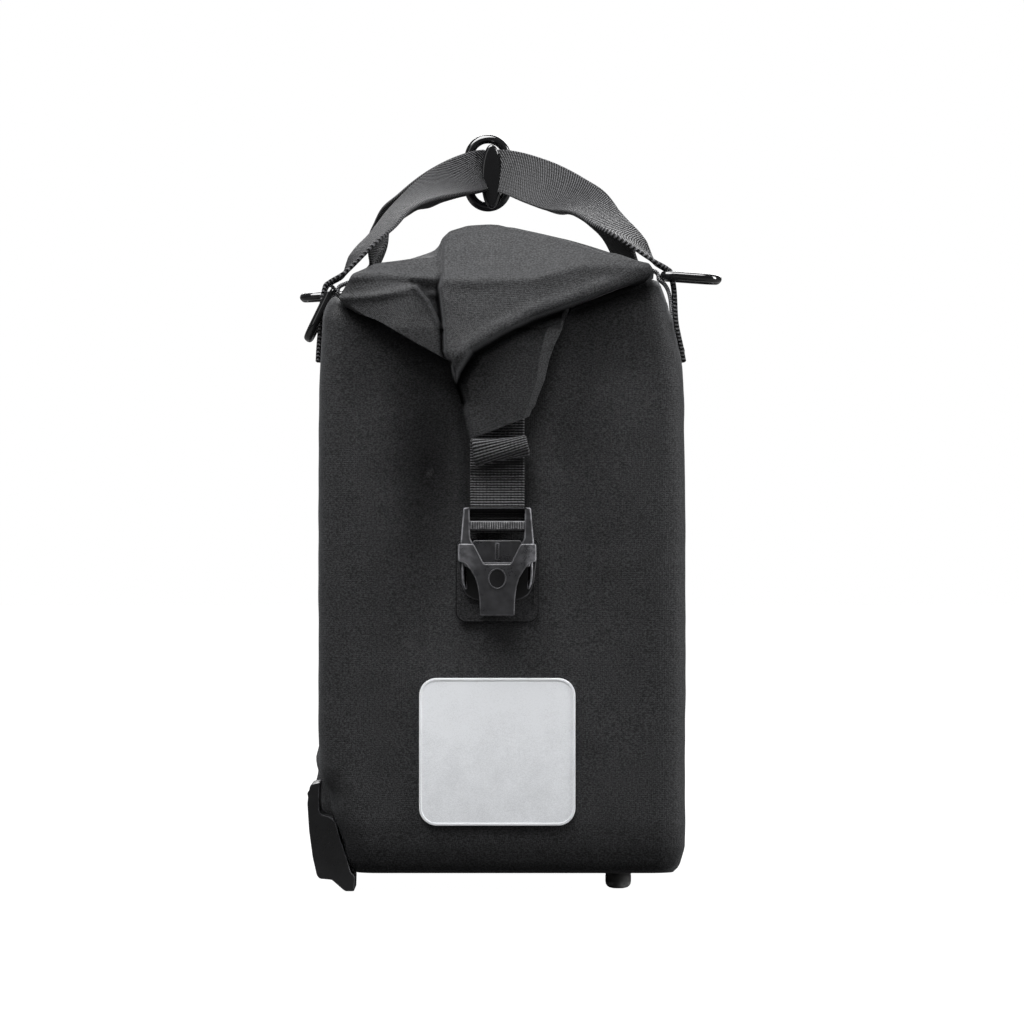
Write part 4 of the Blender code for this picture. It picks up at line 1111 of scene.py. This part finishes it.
def panel_reach(side, height):
    """How far the rear or front panel reaches at a height."""
    column = 1 if side < 0 else 2
    top = [0.2650, 0.2687, 0.2700]
    at_top = bag_rows[-1, column] - np.array([0.0008, 0.0030, 0.0060])
    reaches = np.concatenate([bag_rows[:, column], at_top])
    return np.interp(height, np.concatenate([bag_rows[:, 0], top]), reaches)


def corner_points(name, inner):
    """Places of the handle's webbing, or of the inner ply, round the bar and down the panel."""
    side, end, bar_out, bar_up, _ = bar_places[name]
    thick = tab_thickness if inner else strap_thickness
    radius = wire / 2 + 0.0004 + thick / 2
    if inner:
        first = (bar_out - 2.6 * radius, bar_up + 1.2 * radius)
        angles = np.radians([165, 210, 255])
        lift = cloth_gap + thick / 2
    else:
        lead = math.radians(35.0)
        first = (bar_out - 0.006 * math.cos(lead), bar_up + radius + 0.006 * math.sin(lead))
        angles = np.radians([70, 35, 0])
        lift = 2 * cloth_gap + tab_thickness + thick / 2
    turn = np.stack([bar_out + radius * np.cos(angles), bar_up + radius * np.sin(angles)], axis=1)
    tail = np.stack([panel_reach(side, tail_heights) + lift, tail_heights], axis=1)
    places = np.concatenate([[first], turn, tail])
    return np.stack([side * places[:, 0], np.full(len(places), end * ring_y), places[:, 1]], axis=1)


print("corner straps:", len(corner_points("rear_near", False)), "points each")

# %% [markdown]
# Each handle runs from one end's ring over the middle, where it stands on edge inside the ring that joins
# the two handles, to the other end's ring. Its width lies flat at the rings and turns upright on the way.
# The picture shows no far half beside a near one, so each far half bows out a little more: it keeps to the
# lines of sight through the near half, and comes back to its own corner over the last fifth.

# %% Handles
handle_rows = np.array([
    # along, then as shares of the way to the corner: rear out, front out, fall; rear turn, front turn
    (0.00, 0.00, 0.00, 0.00, 0.0, 0.0),
    (0.08, 0.06, 0.09, 0.02, 26.0, 8.0),
    (0.25, 0.28, 0.29, 0.14, 50.0, 26.0),
    (0.45, 0.49, 0.49, 0.31, 65.0, 43.0),
    (0.67, 0.635, 0.635, 0.47, 71.0, 57.0),
    (0.86, 0.76, 0.76, 0.65, 70.0, 62.0),
    (0.97, 0.88, 0.88, 0.82, 76.0, 72.0),
])
handle_height = 0.343
handle_spacing = 0.0021
link_x = -0.007


def handle(name, side, corners):
    """One handle from the near corner to the far corner, made in two halves from the middle outwards. Where
    the turn is 0 its width stands upright, and at 90 degrees it lies along the bag."""
    halves = []
    outs = handle_rows[:, 1 if side < 0 else 2]
    turns = handle_rows[:, 4 if side < 0 else 5]
    near_start = corner_points(corners[0], False)[0]
    for corner_name, end in zip(corners, (-1, 1)):
        held = corner_points(corner_name, False)
        own = np.clip((handle_rows[:, 0] - 0.80) / 0.20, 0, 1) * (end > 0)
        start_x = link_x + side * handle_spacing / 2
        aim = near_start * (1 - own[:, None]) + held[0] * own[:, None]
        x = start_x + (aim[:, 0] - start_x) * outs
        z = handle_height + (aim[:, 2] - handle_height) * handle_rows[:, 3]
        y = end * ring_y * handle_rows[:, 0]
        if end > 0:
            spread = 1 + (2 * y / lens_distance) * np.clip((1.0 - handle_rows[:, 0]) / 0.20, 0, 1)
            x = camera.location.x + (x - camera.location.x) * spread
            z = camera.location.z + (z - camera.location.z) * spread
        points = np.concatenate([np.stack([x, y, z], axis=1), held])
        halves.append((points, np.concatenate([turns, np.full(len(held), 90.0)])))
    points = np.concatenate([halves[0][0][::-1], halves[1][0][1:]])
    turns = np.concatenate([halves[0][1][::-1], halves[1][1][1:]])
    path, run = smooth_line(points, 0.0009)
    turns = np.radians(np.interp(np.linspace(0, 1, len(path)), run / run[-1], turns))
    along = unit(np.gradient(path, axis=0))
    level = np.cross([0.0, 0.0, 1.0], along)
    flat = np.stack([np.zeros(len(path)), side * np.sign(path[:, 1]), np.zeros(len(path))], axis=1)
    flat = unit(flat - along * (flat * along).sum(axis=1, keepdims=True))
    level = unit(level + 1e-9 * flat)
    upright = np.cross(along, level)
    across = unit(flat * np.sin(turns)[:, None] - side * upright * np.cos(turns)[:, None])
    window = np.ones(15) / 15
    padded_across = np.pad(across, ((7, 7), (0, 0)), mode="edge")
    across = np.stack([np.convolve(padded_across[:, k], window, mode="valid") for k in range(3)], axis=1)
    at_ring = bell(path[:, 1], 0.030)
    part = strap(path, across, strap_width, strap_thickness, 1 + 0.09 * at_ring, 0.16 * at_ring)
    piece(name, [part], handle_webbing, [name.replace("webbing", "handle")])
    length = np.linalg.norm(np.diff(path, axis=0), axis=1).sum()
    print(name, "length:", round(float(length), 3))


handle("webbing_rear", -1, ("rear_near", "rear_far"))
handle("webbing_front", 1, ("front_near", "front_far"))

# %% [markdown]
# Each wire ring hangs in a loop that two plies make: the handle's own webbing outside and a paler tape
# inside, both sewn on the long panel. The rings are round wire carried round a rounded rectangle; two of
# them have dropped against the bag and two stick out.

# %% Inner plies and rings
def wire_ring(outline, middle, first, second, thick, sides=20):
    """Round wire along a closed flat line given in two directions from its middle."""
    path = middle + outline[:, :1] * first + outline[:, 1:] * second
    along = unit(np.roll(path, -1, axis=0) - np.roll(path, 1, axis=0))
    axis = np.broadcast_to(unit(np.cross(first, second)), path.shape)
    out = np.cross(along, axis)
    angle = np.linspace(0, 2 * np.pi, sides, endpoint=False)[:, None]
    circle = np.cos(angle) * out[:, None] + np.sin(angle) * axis[:, None]
    return skin(path[:, None] + circle * thick / 2, around=True, looped=True)


def round_corners(width, height, radii, steps=12):
    """Rounded rectangle about its centre; radii run lower right, upper right, upper left, lower left."""
    parts = []
    for k, (sx, sy, radius) in enumerate(zip((1, 1, -1, -1), (-1, 1, 1, -1), radii)):
        angle = np.radians(90 * (k - 1) + np.linspace(0, 90, steps + 1))
        centre = np.array([sx * (width / 2 - radius), sy * (height / 2 - radius)])
        parts.append(centre + radius * np.stack([np.cos(angle), np.sin(angle)], axis=1))
    return np.concatenate(parts)


tape_width = 0.022
ring_length = 0.025
ring_width = strap_width + 2 * 0.0008 + wire
bar_radius = wire / 2 + 0.0008
for corner_name, (side, end, bar_out, bar_up, droop) in bar_places.items():
    path, _ = smooth_line(corner_points(corner_name, True), 0.0008)
    part = strap(path, np.array([0.0, 1.0, 0.0]), tape_width, tab_thickness)
    piece("ring_tape_" + corner_name, [part], pale_tape, ["anchor_tab_" + corner_name])
    angle = math.radians(droop)
    away = np.array([side * math.cos(angle), 0.0, -math.sin(angle)])
    ring_line = round_corners(ring_length, ring_width, (0.28 * ring_length,) * 2 + (bar_radius,) * 2)
    ring_line = even(np.concatenate([ring_line, ring_line[:1]]), 0.0009)[:-1]
    middle = np.array([side * bar_out, end * ring_y, bar_up]) + away * ring_length / 2
    part = wire_ring(ring_line, middle, away, np.array([0.0, 1.0, 0.0]), wire)
    piece("wire_ring_" + corner_name, [part], ring_gloss, ["carry_ring_" + corner_name])

# %% [markdown]
# The ring that joins the handles is an oval of thicker glossy wire standing across the bag. Both handles
# pass through it on edge, and it hangs on their upper edges.

# %% Joining ring
link_wire = 0.0045
link_width = 0.0230
link_height = 0.0380
link_inner = link_width / 2 - link_wire
link_reach = (handle_spacing + strap_thickness) / 2
link_head = (link_height - 2 * link_wire) / 2 - link_inner + math.sqrt(link_inner**2 - link_reach**2)
link_middle = np.array([link_x, 0.0, handle_height + strap_width / 2 + 2 * cloth_gap - link_head])
link_round = (link_width - link_wire) / 2
link_line = round_corners(2 * link_round, link_height - link_wire, (link_round,) * 4)
link_line = even(np.concatenate([link_line, link_line[:1]]), 0.0009)[:-1]
part = wire_ring(link_line, link_middle, np.array([1.0, 0, 0]), np.array([0, 0, 1.0]), link_wire, 24)
piece("joining_ring", [part], ring_gloss, ["handle_link_ring"])

# %% [markdown]
# Hard parts such as the buckle are plates with rounded rims. Cutting boxes and bevelling them works too,
# but a plate can be one surface: its outline, repeated a little smaller while it rises, rounds the rim, and
# the same again on the other side closes it. Moving each point inwards along the mean of its two edges'
# normals makes the smaller outline. Rims get a high edge value, so that the material can rub them.

# %% Plates with rounded rims
def soft_corners(line, radius, steps=4):
    """Closed flat line with each corner replaced by a short curve that starts at most radius before it."""
    before = np.roll(line, 1, axis=0) - line
    after = np.roll(line, -1, axis=0) - line
    radius = np.broadcast_to(radius, len(line))
    shorter = np.minimum(np.linalg.norm(before, axis=1), np.linalg.norm(after, axis=1))
    reach = np.minimum(radius, 0.45 * shorter)
    first = line + unit(before) * reach[:, None]
    last = line + unit(after) * reach[:, None]
    t = np.linspace(0, 1, steps + 1)[None, :, None]
    curve = first[:, None] * (1 - t) ** 2 + line[:, None] * 2 * t * (1 - t) + last[:, None] * t**2
    return curve.reshape(-1, 2)


def turned(line):
    """The line, walked with its inside on the left."""
    area = (line[:, 0] * np.roll(line[:, 1], -1) - line[:, 1] * np.roll(line[:, 0], -1)).sum()
    return line if area > 0 else line[::-1]


def moved_in(line, distance):
    """Closed line moved inwards by a distance."""
    way = unit(np.roll(line, -1, axis=0) - line)
    normal = np.stack([-way[:, 1], way[:, 0]], axis=1)
    mean = normal + np.roll(normal, 1, axis=0)
    return line + mean / np.maximum(0.5 * (mean**2).sum(axis=1, keepdims=True), 0.5) * distance


def layered(layers, to_space, **closing):
    """Skin over flat outlines, each given with its distance out and its edge value."""
    outlines = np.array([outline for outline, _, _ in layers])
    outs, edges = (np.array([layer[k] for layer in layers])[:, None] for k in (1, 2))
    return skin(to_space(outlines[..., 0], outlines[..., 1], outs), around=True, edge=edges, **closing)


def plate(line, low, high, rim, to_space, dome=0.0, steps=3):
    """Plate between two depths over a closed line, its rims rounded by rim. to_space turns (across, up,
    out) into places. A flat face is closed by one face just inside its rim, so the line may be notched; a
    dome shrinks it towards its middle and needs a line without notches."""
    line = turned(np.asarray(line, float))
    rows = []
    for angle in np.linspace(0, np.pi / 2, steps + 1):
        rows.append((moved_in(line, rim * (1 - math.sin(angle))), rim * (1 - math.cos(angle)), 0.6))
    flat = rows[0][0]
    rows[0] = (flat, 0.0, 1.0)
    inner = [(moved_in(line, 1.25 * rim), 0.0)]
    if dome:
        middle = line.mean(axis=0)
        shares = (0.94, 0.7, 0.4, 0.12)
        inner = [(middle + (flat - middle) * share, dome * (1 - share**2)) for share in shares]
    layers = [(shape, low - swell, 0.0) for shape, swell in inner[::-1]]
    layers += [(shape, low + rise, mark) for shape, rise, mark in rows]
    layers += [(shape, high - rise, mark) for shape, rise, mark in rows[::-1]]
    layers += [(shape, high + swell, 0.0) for shape, swell in inner]
    return layered(layers, to_space, ends=True)


def frame_plate(outer, inner, low, high, rim, to_space, steps=3):
    """Plate with an opening: the rim is rounded at the outer line and at the opening. Both lines have the
    same number of points."""
    outer = turned(np.asarray(outer, float))
    inner = turned(np.asarray(inner, float))
    angles = np.linspace(0, np.pi / 2, steps + 1)
    layers = []
    for line, way, first, last in ((outer, 1, high, low), (inner, -1, low, high)):
        on = np.sign(last - first)
        layers.append((moved_in(line, way * 1.25 * rim), first, 0.0))
        for angle in angles:
            inset = way * rim * (1 - math.sin(angle))
            layers.append((moved_in(line, inset), first + on * rim * (1 - math.cos(angle)), 1.0))
        for angle in angles[::-1]:
            inset = way * rim * (1 - math.sin(angle))
            layers.append((moved_in(line, inset), last - on * rim * (1 - math.cos(angle)), 1.0))
        layers.append((moved_in(line, way * 1.25 * rim), last, 0.0))
    return layered(layers, to_space, looped=True)


strap_x = -0.002
both_ends = ((-1, "near"), (1, "far"))


def on_end(end):
    """Turns (across from the strap's middle, up, out from the end panel) into places at one end."""
    def to_space(across, up, out):
        return np.stack(np.broadcast_arrays(strap_x + across, end * (half_length + out), up), axis=-1)
    return to_space


def along_bag(end):
    """Turns (across, up, distance from the bag's middle) into places at one end."""
    def to_space(across, up, out):
        return np.stack(np.broadcast_arrays(across, end * out, up), axis=-1)
    return to_space


def oval(wide, tall, centre, count):
    """Closed oval from its half width and half height."""
    angle = np.linspace(0, 2 * np.pi, count, endpoint=False)
    return np.stack([centre[0] + wide * np.cos(angle), centre[1] + tall * np.sin(angle)], axis=1)


print("plates ready")

# %% [markdown]
# A small glossy cover in front of the joining ring hides the gathered webbing. A flattened ball would do;
# here it is an oval plate with a well rounded rim, and another one looks the other way.

# %% Clip on the joining ring
clip_line = oval(0.0052, 0.0158, (link_x + 0.0018, handle_height - 0.0032), 48)
for end, end_name in both_ends:
    clip = plate(clip_line, 0.0030, 0.0100, 0.0014, along_bag(end))
    piece("ring_clip_" + end_name, [clip], ring_gloss)

# %% [markdown]
# The reflective patch is stiff film on the end panel. A flat picture of it would do from afar. Here it is a
# thin plate with a narrow raised rim, so that light runs along its edge.

# %% Reflective patch
film_line = round_corners(0.072, 0.068, (0.008,) * 4, 10) + (0.0, 0.0648)
rim_line = turned(even(np.concatenate([film_line, film_line[:1]]), 0.0012)[:-1])
rim_inside = moved_in(rim_line, 0.0013)
for end, end_name in both_ends:
    film = plate(film_line, 0.0003, 0.0013, 0.0004, on_end(end))
    rim = frame_plate(rim_line, rim_inside, 0.0003, 0.00155, 0.0003, on_end(end), 2)
    replaced = ["reflector_" + end_name]
    piece("reflective_patch_" + end_name, [film, rim], reflective_film, replaced)

# %% [markdown]
# The side strap comes out from under the folded end, runs down behind the buckle's bar, turns round it and
# comes back up to end in a turned-over end that stands off the cloth. Its path is the same line as the
# solid's, and the ribs are real relief here because the strap is seen from close by.

# %% Side straps
buckle_bottom = 0.1275
socket_length = 0.0332
plug_length = 0.0166
plug_top = buckle_bottom + socket_length + plug_length
flap_end = 0.2085
keeper_rows = np.array([
    # share of the way up to the fold, share of the strap's width outwards
    (0.34, 0.00), (0.50, 0.00), (0.64, 0.02), (0.80, 0.05), (0.92, 0.09), (0.975, 0.15), (0.985, 0.21),
    (0.955, 0.26), (0.87, 0.275), (0.77, 0.255), (0.705, 0.205),
])


def side_strap_path():
    """Out and height of the strap's middle line, from under the fold to its turned-over end."""
    lower = cloth_gap + strap_thickness / 2
    bar_middle = (0.0036, 0.1688)
    bar_turn = 0.0021
    angles = np.radians([180, 225, 270, 315, 360])
    turn = bar_middle + bar_turn * np.stack([np.cos(angles), np.sin(angles)], axis=1)
    up_out = lower + strap_lift + keeper_rows[:, 1] * strap_width
    up_height = plug_top + keeper_rows[:, 0] * (flap_end - plug_top)
    up = np.stack([up_out, up_height], axis=1)
    start = [(lower, flap_end + 0.015), (lower, flap_end), (lower, 0.1850), (lower + 0.0001, 0.1740)]
    return np.concatenate([start, turn, [(0.0058, 0.1735), (0.0058, 0.1775)], up])


strap_line, _ = smooth_line(side_strap_path(), 0.00021)
strap_run = np.linspace(0, 1, len(strap_line)) * np.linalg.norm(np.diff(strap_line, axis=0), axis=1).sum()
rib_relief = 1.0 + 0.12 * (np.abs(np.sin(np.pi * strap_run / 0.00125)) - 0.6)
folded_over = np.clip((strap_run - strap_run[-1] + 0.0135) / 0.013, 0, 1)
for end, end_name in both_ends:
    path = on_end(end)(0.0024 * folded_over, strap_line[:, 1], strap_line[:, 0])
    part = strap(path, np.array([1.0, 0.0, 0.0]), strap_width, strap_thickness, rib_relief)
    slant = np.repeat(folded_over, len(strap_section)) * 0.18
    sideways = part["points"][:, 0] - strap_x
    part["points"][:, 2] += slant * sideways
    height = part["points"][:, 2]
    # Painted shade: the strap is darkened where it runs down into the buckle's slot, and in a band under its
    # turned-over end.
    painted_slot_shade = np.clip((height - 0.1695) / 0.0010, 0, 1) * np.clip((0.1778 - height) / 0.0010, 0, 1)
    painted_shadow_under_end = np.exp(-(((height - 0.1966 - 0.18 * sideways) / 0.0021) ** 2))
    part["edge"] = np.clip(painted_slot_shade + painted_shadow_under_end * (1 - np.repeat(folded_over, len(strap_section))), 0, 1)
    piece("closing_strap_" + end_name, [part], strap_webbing, ["side_strap_" + end_name])
print("side strap length:", round(float(strap_run[-1]), 3))

# %% [markdown]
# The buckle is a side-release one. Its plug is a frame with a grip bar that the strap runs behind, and two
# springy prongs; its socket is a flat shell with a notch at the top and a window on each side, where the
# prongs are pressed. Each part is its own rimmed plate, so light runs along every edge.

# %% Outlines of the buckle
def wear_and_highlight(part, least, sides=0.0):
    """The part with its faces rubbed at least this much, more towards its sides, and its rims most where
    they look to the side. The rims are rubbed wear; the extra lightness towards the outer sides, on faces
    and rims, is a painted highlight."""
    far_out = np.clip((np.abs(part["points"][:, 0] - strap_x) - 0.0100) / 0.0060, 0, 1)
    face = least + sides * far_out
    part["edge"] = np.clip(face + part["edge"] * (0.28 + 0.9 * far_out**3), 0, 1)
    return part


def mirror_line(right):
    """Closed outline from its right half, walked downwards."""
    right = np.array(right, float)
    left = right[::-1] * (-1, 1)
    return np.concatenate([right, left])


plug_outer = mirror_line([(0.0155, 0.1773), (0.0169, 0.1610), (0.0150, 0.1500)])
plug_inner = mirror_line([(0.0127, 0.1767), (0.0124, 0.1632), (0.0066, 0.1522)])
grip_bar = mirror_line([(0.0130, 0.1712), (0.0130, 0.1671)])
plug_floor = mirror_line([(0.0108, 0.1624), (0.0118, 0.1606), (0.0092, 0.1500)])
plug_tongue = mirror_line([(0.0010, 0.1612), (0.0012, 0.1530)])
prong_line = np.array([
    (0.0156, 0.1590), (0.0164, 0.1520), (0.0165, 0.1470), (0.0160, 0.1425), (0.0146, 0.1395),
    (0.0136, 0.1402), (0.0142, 0.1440), (0.0145, 0.1520), (0.0140, 0.1590),
])
shell_line = mirror_line([
    (0.0061, 0.1514), (0.0108, 0.1607), (0.0178, 0.1607), (0.0179, 0.1526), (0.0147, 0.1517),
    (0.0119, 0.1480), (0.0101, 0.1448), (0.0089, 0.1408), (0.0082, 0.1350), (0.0080, 0.1276),
])
stem_line = mirror_line([
    (0.0120, 0.1480), (0.0101, 0.1448), (0.0088, 0.1408), (0.0081, 0.1350), (0.0079, 0.1277),
])
back_line = mirror_line([
    (0.0172, 0.1606), (0.0181, 0.1590), (0.0181, 0.1530), (0.0168, 0.1425), (0.0146, 0.1372),
    (0.0112, 0.1352), (0.0088, 0.1346),
])
wing_line = np.array([(0.0162, 0.1605), (0.0180, 0.1605), (0.0180, 0.1527), (0.0166, 0.1522)])
rib_line = np.array([(-0.00028, 0.1675), (0.00028, 0.1675), (0.00028, 0.1708), (-0.00028, 0.1708)])
recess_line = oval(0.0042, 0.0048, (0.0, 0.1447), 40)
print("buckle lines:", len(shell_line), "points round the shell")

# %% [markdown]
# Each end gets the same mouldings, placed by their distance out from the end panel. The prongs and the
# wings of the shell lie on both sides, and fine ribs on the bar give the fingers a hold. The ribs are
# duller than the rest, because dust stays between them.

# %% Buckle
grip_plastic = plastic_material(
    "grip_plastic", (0.010, 0.010, 0.011), (0.16, 0.16, 0.165), 0.0010, 0.45, 0.7, 0.3
)
for end, end_name in both_ends:
    space = on_end(end)
    outer = soft_corners(plug_outer, 0.0010)
    inner = soft_corners(plug_inner, 0.0006)
    plug_parts = [
        frame_plate(outer, inner, 0.0034, 0.0094, 0.0006, space),
        plate(soft_corners(grip_bar, 0.0003), 0.0069, 0.0093, 0.0005, space, 0.0002),
        plate(soft_corners(plug_floor, 0.0016), 0.0058, 0.0080, 0.0005, space),
        plate(soft_corners(plug_tongue, 0.0005), 0.0070, 0.0086, 0.0005, space),
    ]
    for side in (-1, 1):
        prong = soft_corners(prong_line * (side, 1), 0.0008)
        plug_parts.append(plate(prong, 0.0040, 0.0088, 0.0007, space))
    # Rubbed rims, made lighter towards the outer sides as a painted highlight.
    plug_parts = [wear_and_highlight(part, 0.04, 0.08) for part in plug_parts]
    piece(
        "plug_moulding_" + end_name, plug_parts, buckle_plastic,
        ["buckle_plug_" + end_name], 30.0,
    )
    socket_parts = [
        plate(soft_corners(shell_line, 0.0009), 0.0088, 0.0108, 0.0005, space),
        plate(soft_corners(stem_line, 0.0006), 0.0020, 0.0104, 0.0004, space),
        frame_plate(recess_line, moved_in(recess_line, 0.0006), 0.0105, 0.0111, 0.0002, space, 2),
    ]
    for side in (-1, 1):
        wing = soft_corners(wing_line * (side, 1), 0.0006)
        socket_parts.append(plate(wing, 0.0020, 0.0106, 0.0004, space))
    shell, *others = socket_parts
    # The shell's faces and rims get lighter towards its outer sides, a painted highlight over the rubbed
    # wear.
    socket_parts = [wear_and_highlight(shell, 0.05, 0.40), *(wear_and_highlight(part, 0.0) for part in others)]
    piece(
        "socket_moulding_" + end_name, socket_parts, buckle_plastic,
        ["buckle_socket_" + end_name], 30.0,
    )
    grips = []
    for share in np.linspace(-1, 1, 23):
        rib = rib_line + (share * 0.0118, 0)
        grips.append(plate(rib, 0.0090, 0.00965, 0.0002, space, steps=1))
    piece("grip_ribs_" + end_name, grips, grip_plastic)
    back = plate(soft_corners(back_line, 0.0015), 0.0019, 0.0034, 0.0005, space)
    piece("socket_back_" + end_name, [back], hook_plastic)
    inlay = plate(moved_in(recess_line, 0.0005), 0.0106, 0.01085, 0.0001, space, steps=1)
    piece("recess_floor_" + end_name, [inlay], hook_plastic)

# %% [markdown]
# Behind the buckle lies a patch of the bag's own cloth, sewn round its edge. Each stitch is a short bead
# of thread with a few faces, and one mesh holds a whole row.

# %% Stitches and patches
def stitches(line, out, pitch=0.0026, length=0.0019, thick=0.00045):
    """Row of stitches along a line. Each is a bead: six-sided rings whose size follows a half sine; out is
    the direction away from the cloth at each point of the line."""
    line = even(np.concatenate([line, np.broadcast_to(out, line.shape)], axis=1), pitch)
    middle, out = line[:, :3], unit(line[:, 3:])
    along = unit(np.gradient(middle, axis=0))
    side = np.cross(along, out)
    share = np.linspace(0, 1, 6)
    angle = np.linspace(0, 2 * np.pi, 6, endpoint=False)
    size = np.maximum(np.sin(np.pi * share), 0.15)[:, None] * thick / 2
    lift = (np.sin(np.pi * share) * thick * 0.35)[:, None]
    forward = (share - 0.5)[:, None] * length + 0 * angle
    sideways = size * np.cos(angle)
    upwards = size * np.sin(angle) + lift
    points = (
        middle[:, None, None]
        + forward[..., None] * along[:, None, None]
        + sideways[..., None] * side[:, None, None]
        + upwards[..., None] * out[:, None, None]
    )
    return [skin(bead, around=True, ends=True) for bead in points]


patch_line = round_corners(0.0385, 0.0385, (0.005, 0.003, 0.003, 0.005), 6) + (0.0, 0.1436)
patch_row = moved_in(turned(even(np.concatenate([patch_line, patch_line[:1]]), 0.001)), 0.0022)
for end, end_name in both_ends:
    space = on_end(end)
    # In the cloth material the plate's rim values darken the patch along its rounded edge, a painted shade.
    parts = [plate(patch_line, 0.0003, 0.0015, 0.0005, space)]
    piece("buckle_backing_" + end_name, parts, cloth, ["buckle_patch_" + end_name])
    row = space(patch_row[:, 0], patch_row[:, 1], 0.0015)
    piece("backing_stitches_" + end_name, stitches(row, np.array([0.0, end, 0.0])), thread)

# %% [markdown]
# The strap is sewn down under the fold with a zigzag that shows at the fold's edge, and its turned-over end
# is held by two short rows.

# %% Seams on the side straps
zigzag = np.array([(0.0004 + 0.00105 * k, 0.2105 if k % 2 else 0.2148 + 0.0004 * k) for k in range(9)])
cross_rows = [np.array([(-0.0115, height), (0.0115, height)]) for height in (0.1914, 0.1930)]
for end, end_name in both_ends:
    beads = []
    for line, lift in ((zigzag, 0.0025), (cross_rows[0], 0.0048), (cross_rows[1], 0.0048)):
        row = even(line, 0.0004)
        row = on_end(end)(row[:, 0], row[:, 1], lift)
        beads += stitches(row, np.array([0.0, end, 0.0]), 0.0017, 0.0014, 0.00042)
    piece("strap_stitches_" + end_name, beads, thread)

# %% [markdown]
# At its lower rear edge the bag carries a hard hook with a slot for a rail of the rack, and under its front
# edge a rubber foot. Both are one closed outline each: the hook's runs along the bag, the foot's round its
# own axis.

# %% Hooks and feet
hook_line = seen(
    (319.5, 783.2), (311, 784.6), (309.2, 787.4), (308.9, 790.6), (306.6, 793.6), (307.7, 797.2),
    (306.9, 804), (308.6, 831), (312.3, 858), (316.4, 876), (319.3, 879.4), (331.4, 880.4), (342.0, 889.6),
    (345, 891.9), (354.0, 891.9), (354.4, 877), (350.4, 873), (347.0, 861), (343.0, 849), (339.2, 838),
    (335.6, 824), (332.6, 819.2), (328.0, 817.0), (321.8, 815.8), (319.2, 813.0), (318.6, 808),
    (318.6, 792),
)
hook_line[:, 1] = np.maximum(hook_line[:, 1], 0.0)
hook_from = 0.156
hook_to = 0.196
foot_across = 0.0543
foot_along = 0.165
foot_rows = np.array([
    # radius, height
    (0.0025, 0.0), (0.0042, 0.0004), (0.0052, 0.0011), (0.0058, 0.0021), (0.0060, 0.0034),
    (0.0060, 0.0062), (0.0058, 0.0065), (0.0060, 0.0068), (0.0060, 0.0083),
])
foot_radius = foot_rows[:, :1]
foot_height = foot_rows[:, 1:]
foot_angle = np.linspace(0, 2 * np.pi, 48, endpoint=False)

for end, end_name in both_ends:
    part = plate(soft_corners(hook_line, 0.0008, 3), hook_from, hook_to, 0.0003, along_bag(end))
    piece("hook_moulding_" + end_name, [part], hook_plastic, ["rack_hook_" + end_name], 30.0)
    foot_points = [
        foot_across + foot_radius * np.cos(foot_angle),
        end * foot_along + foot_radius * np.sin(foot_angle),
        foot_height + 0 * foot_angle,
    ]
    foot_edge = bell(foot_height - 0.0015, 0.0012)
    part = skin(np.stack(foot_points, axis=-1), around=True, ends=True, edge=foot_edge)
    piece("rubber_foot_" + end_name, [part], foot_rubber, ["foot_" + end_name], 50.0)
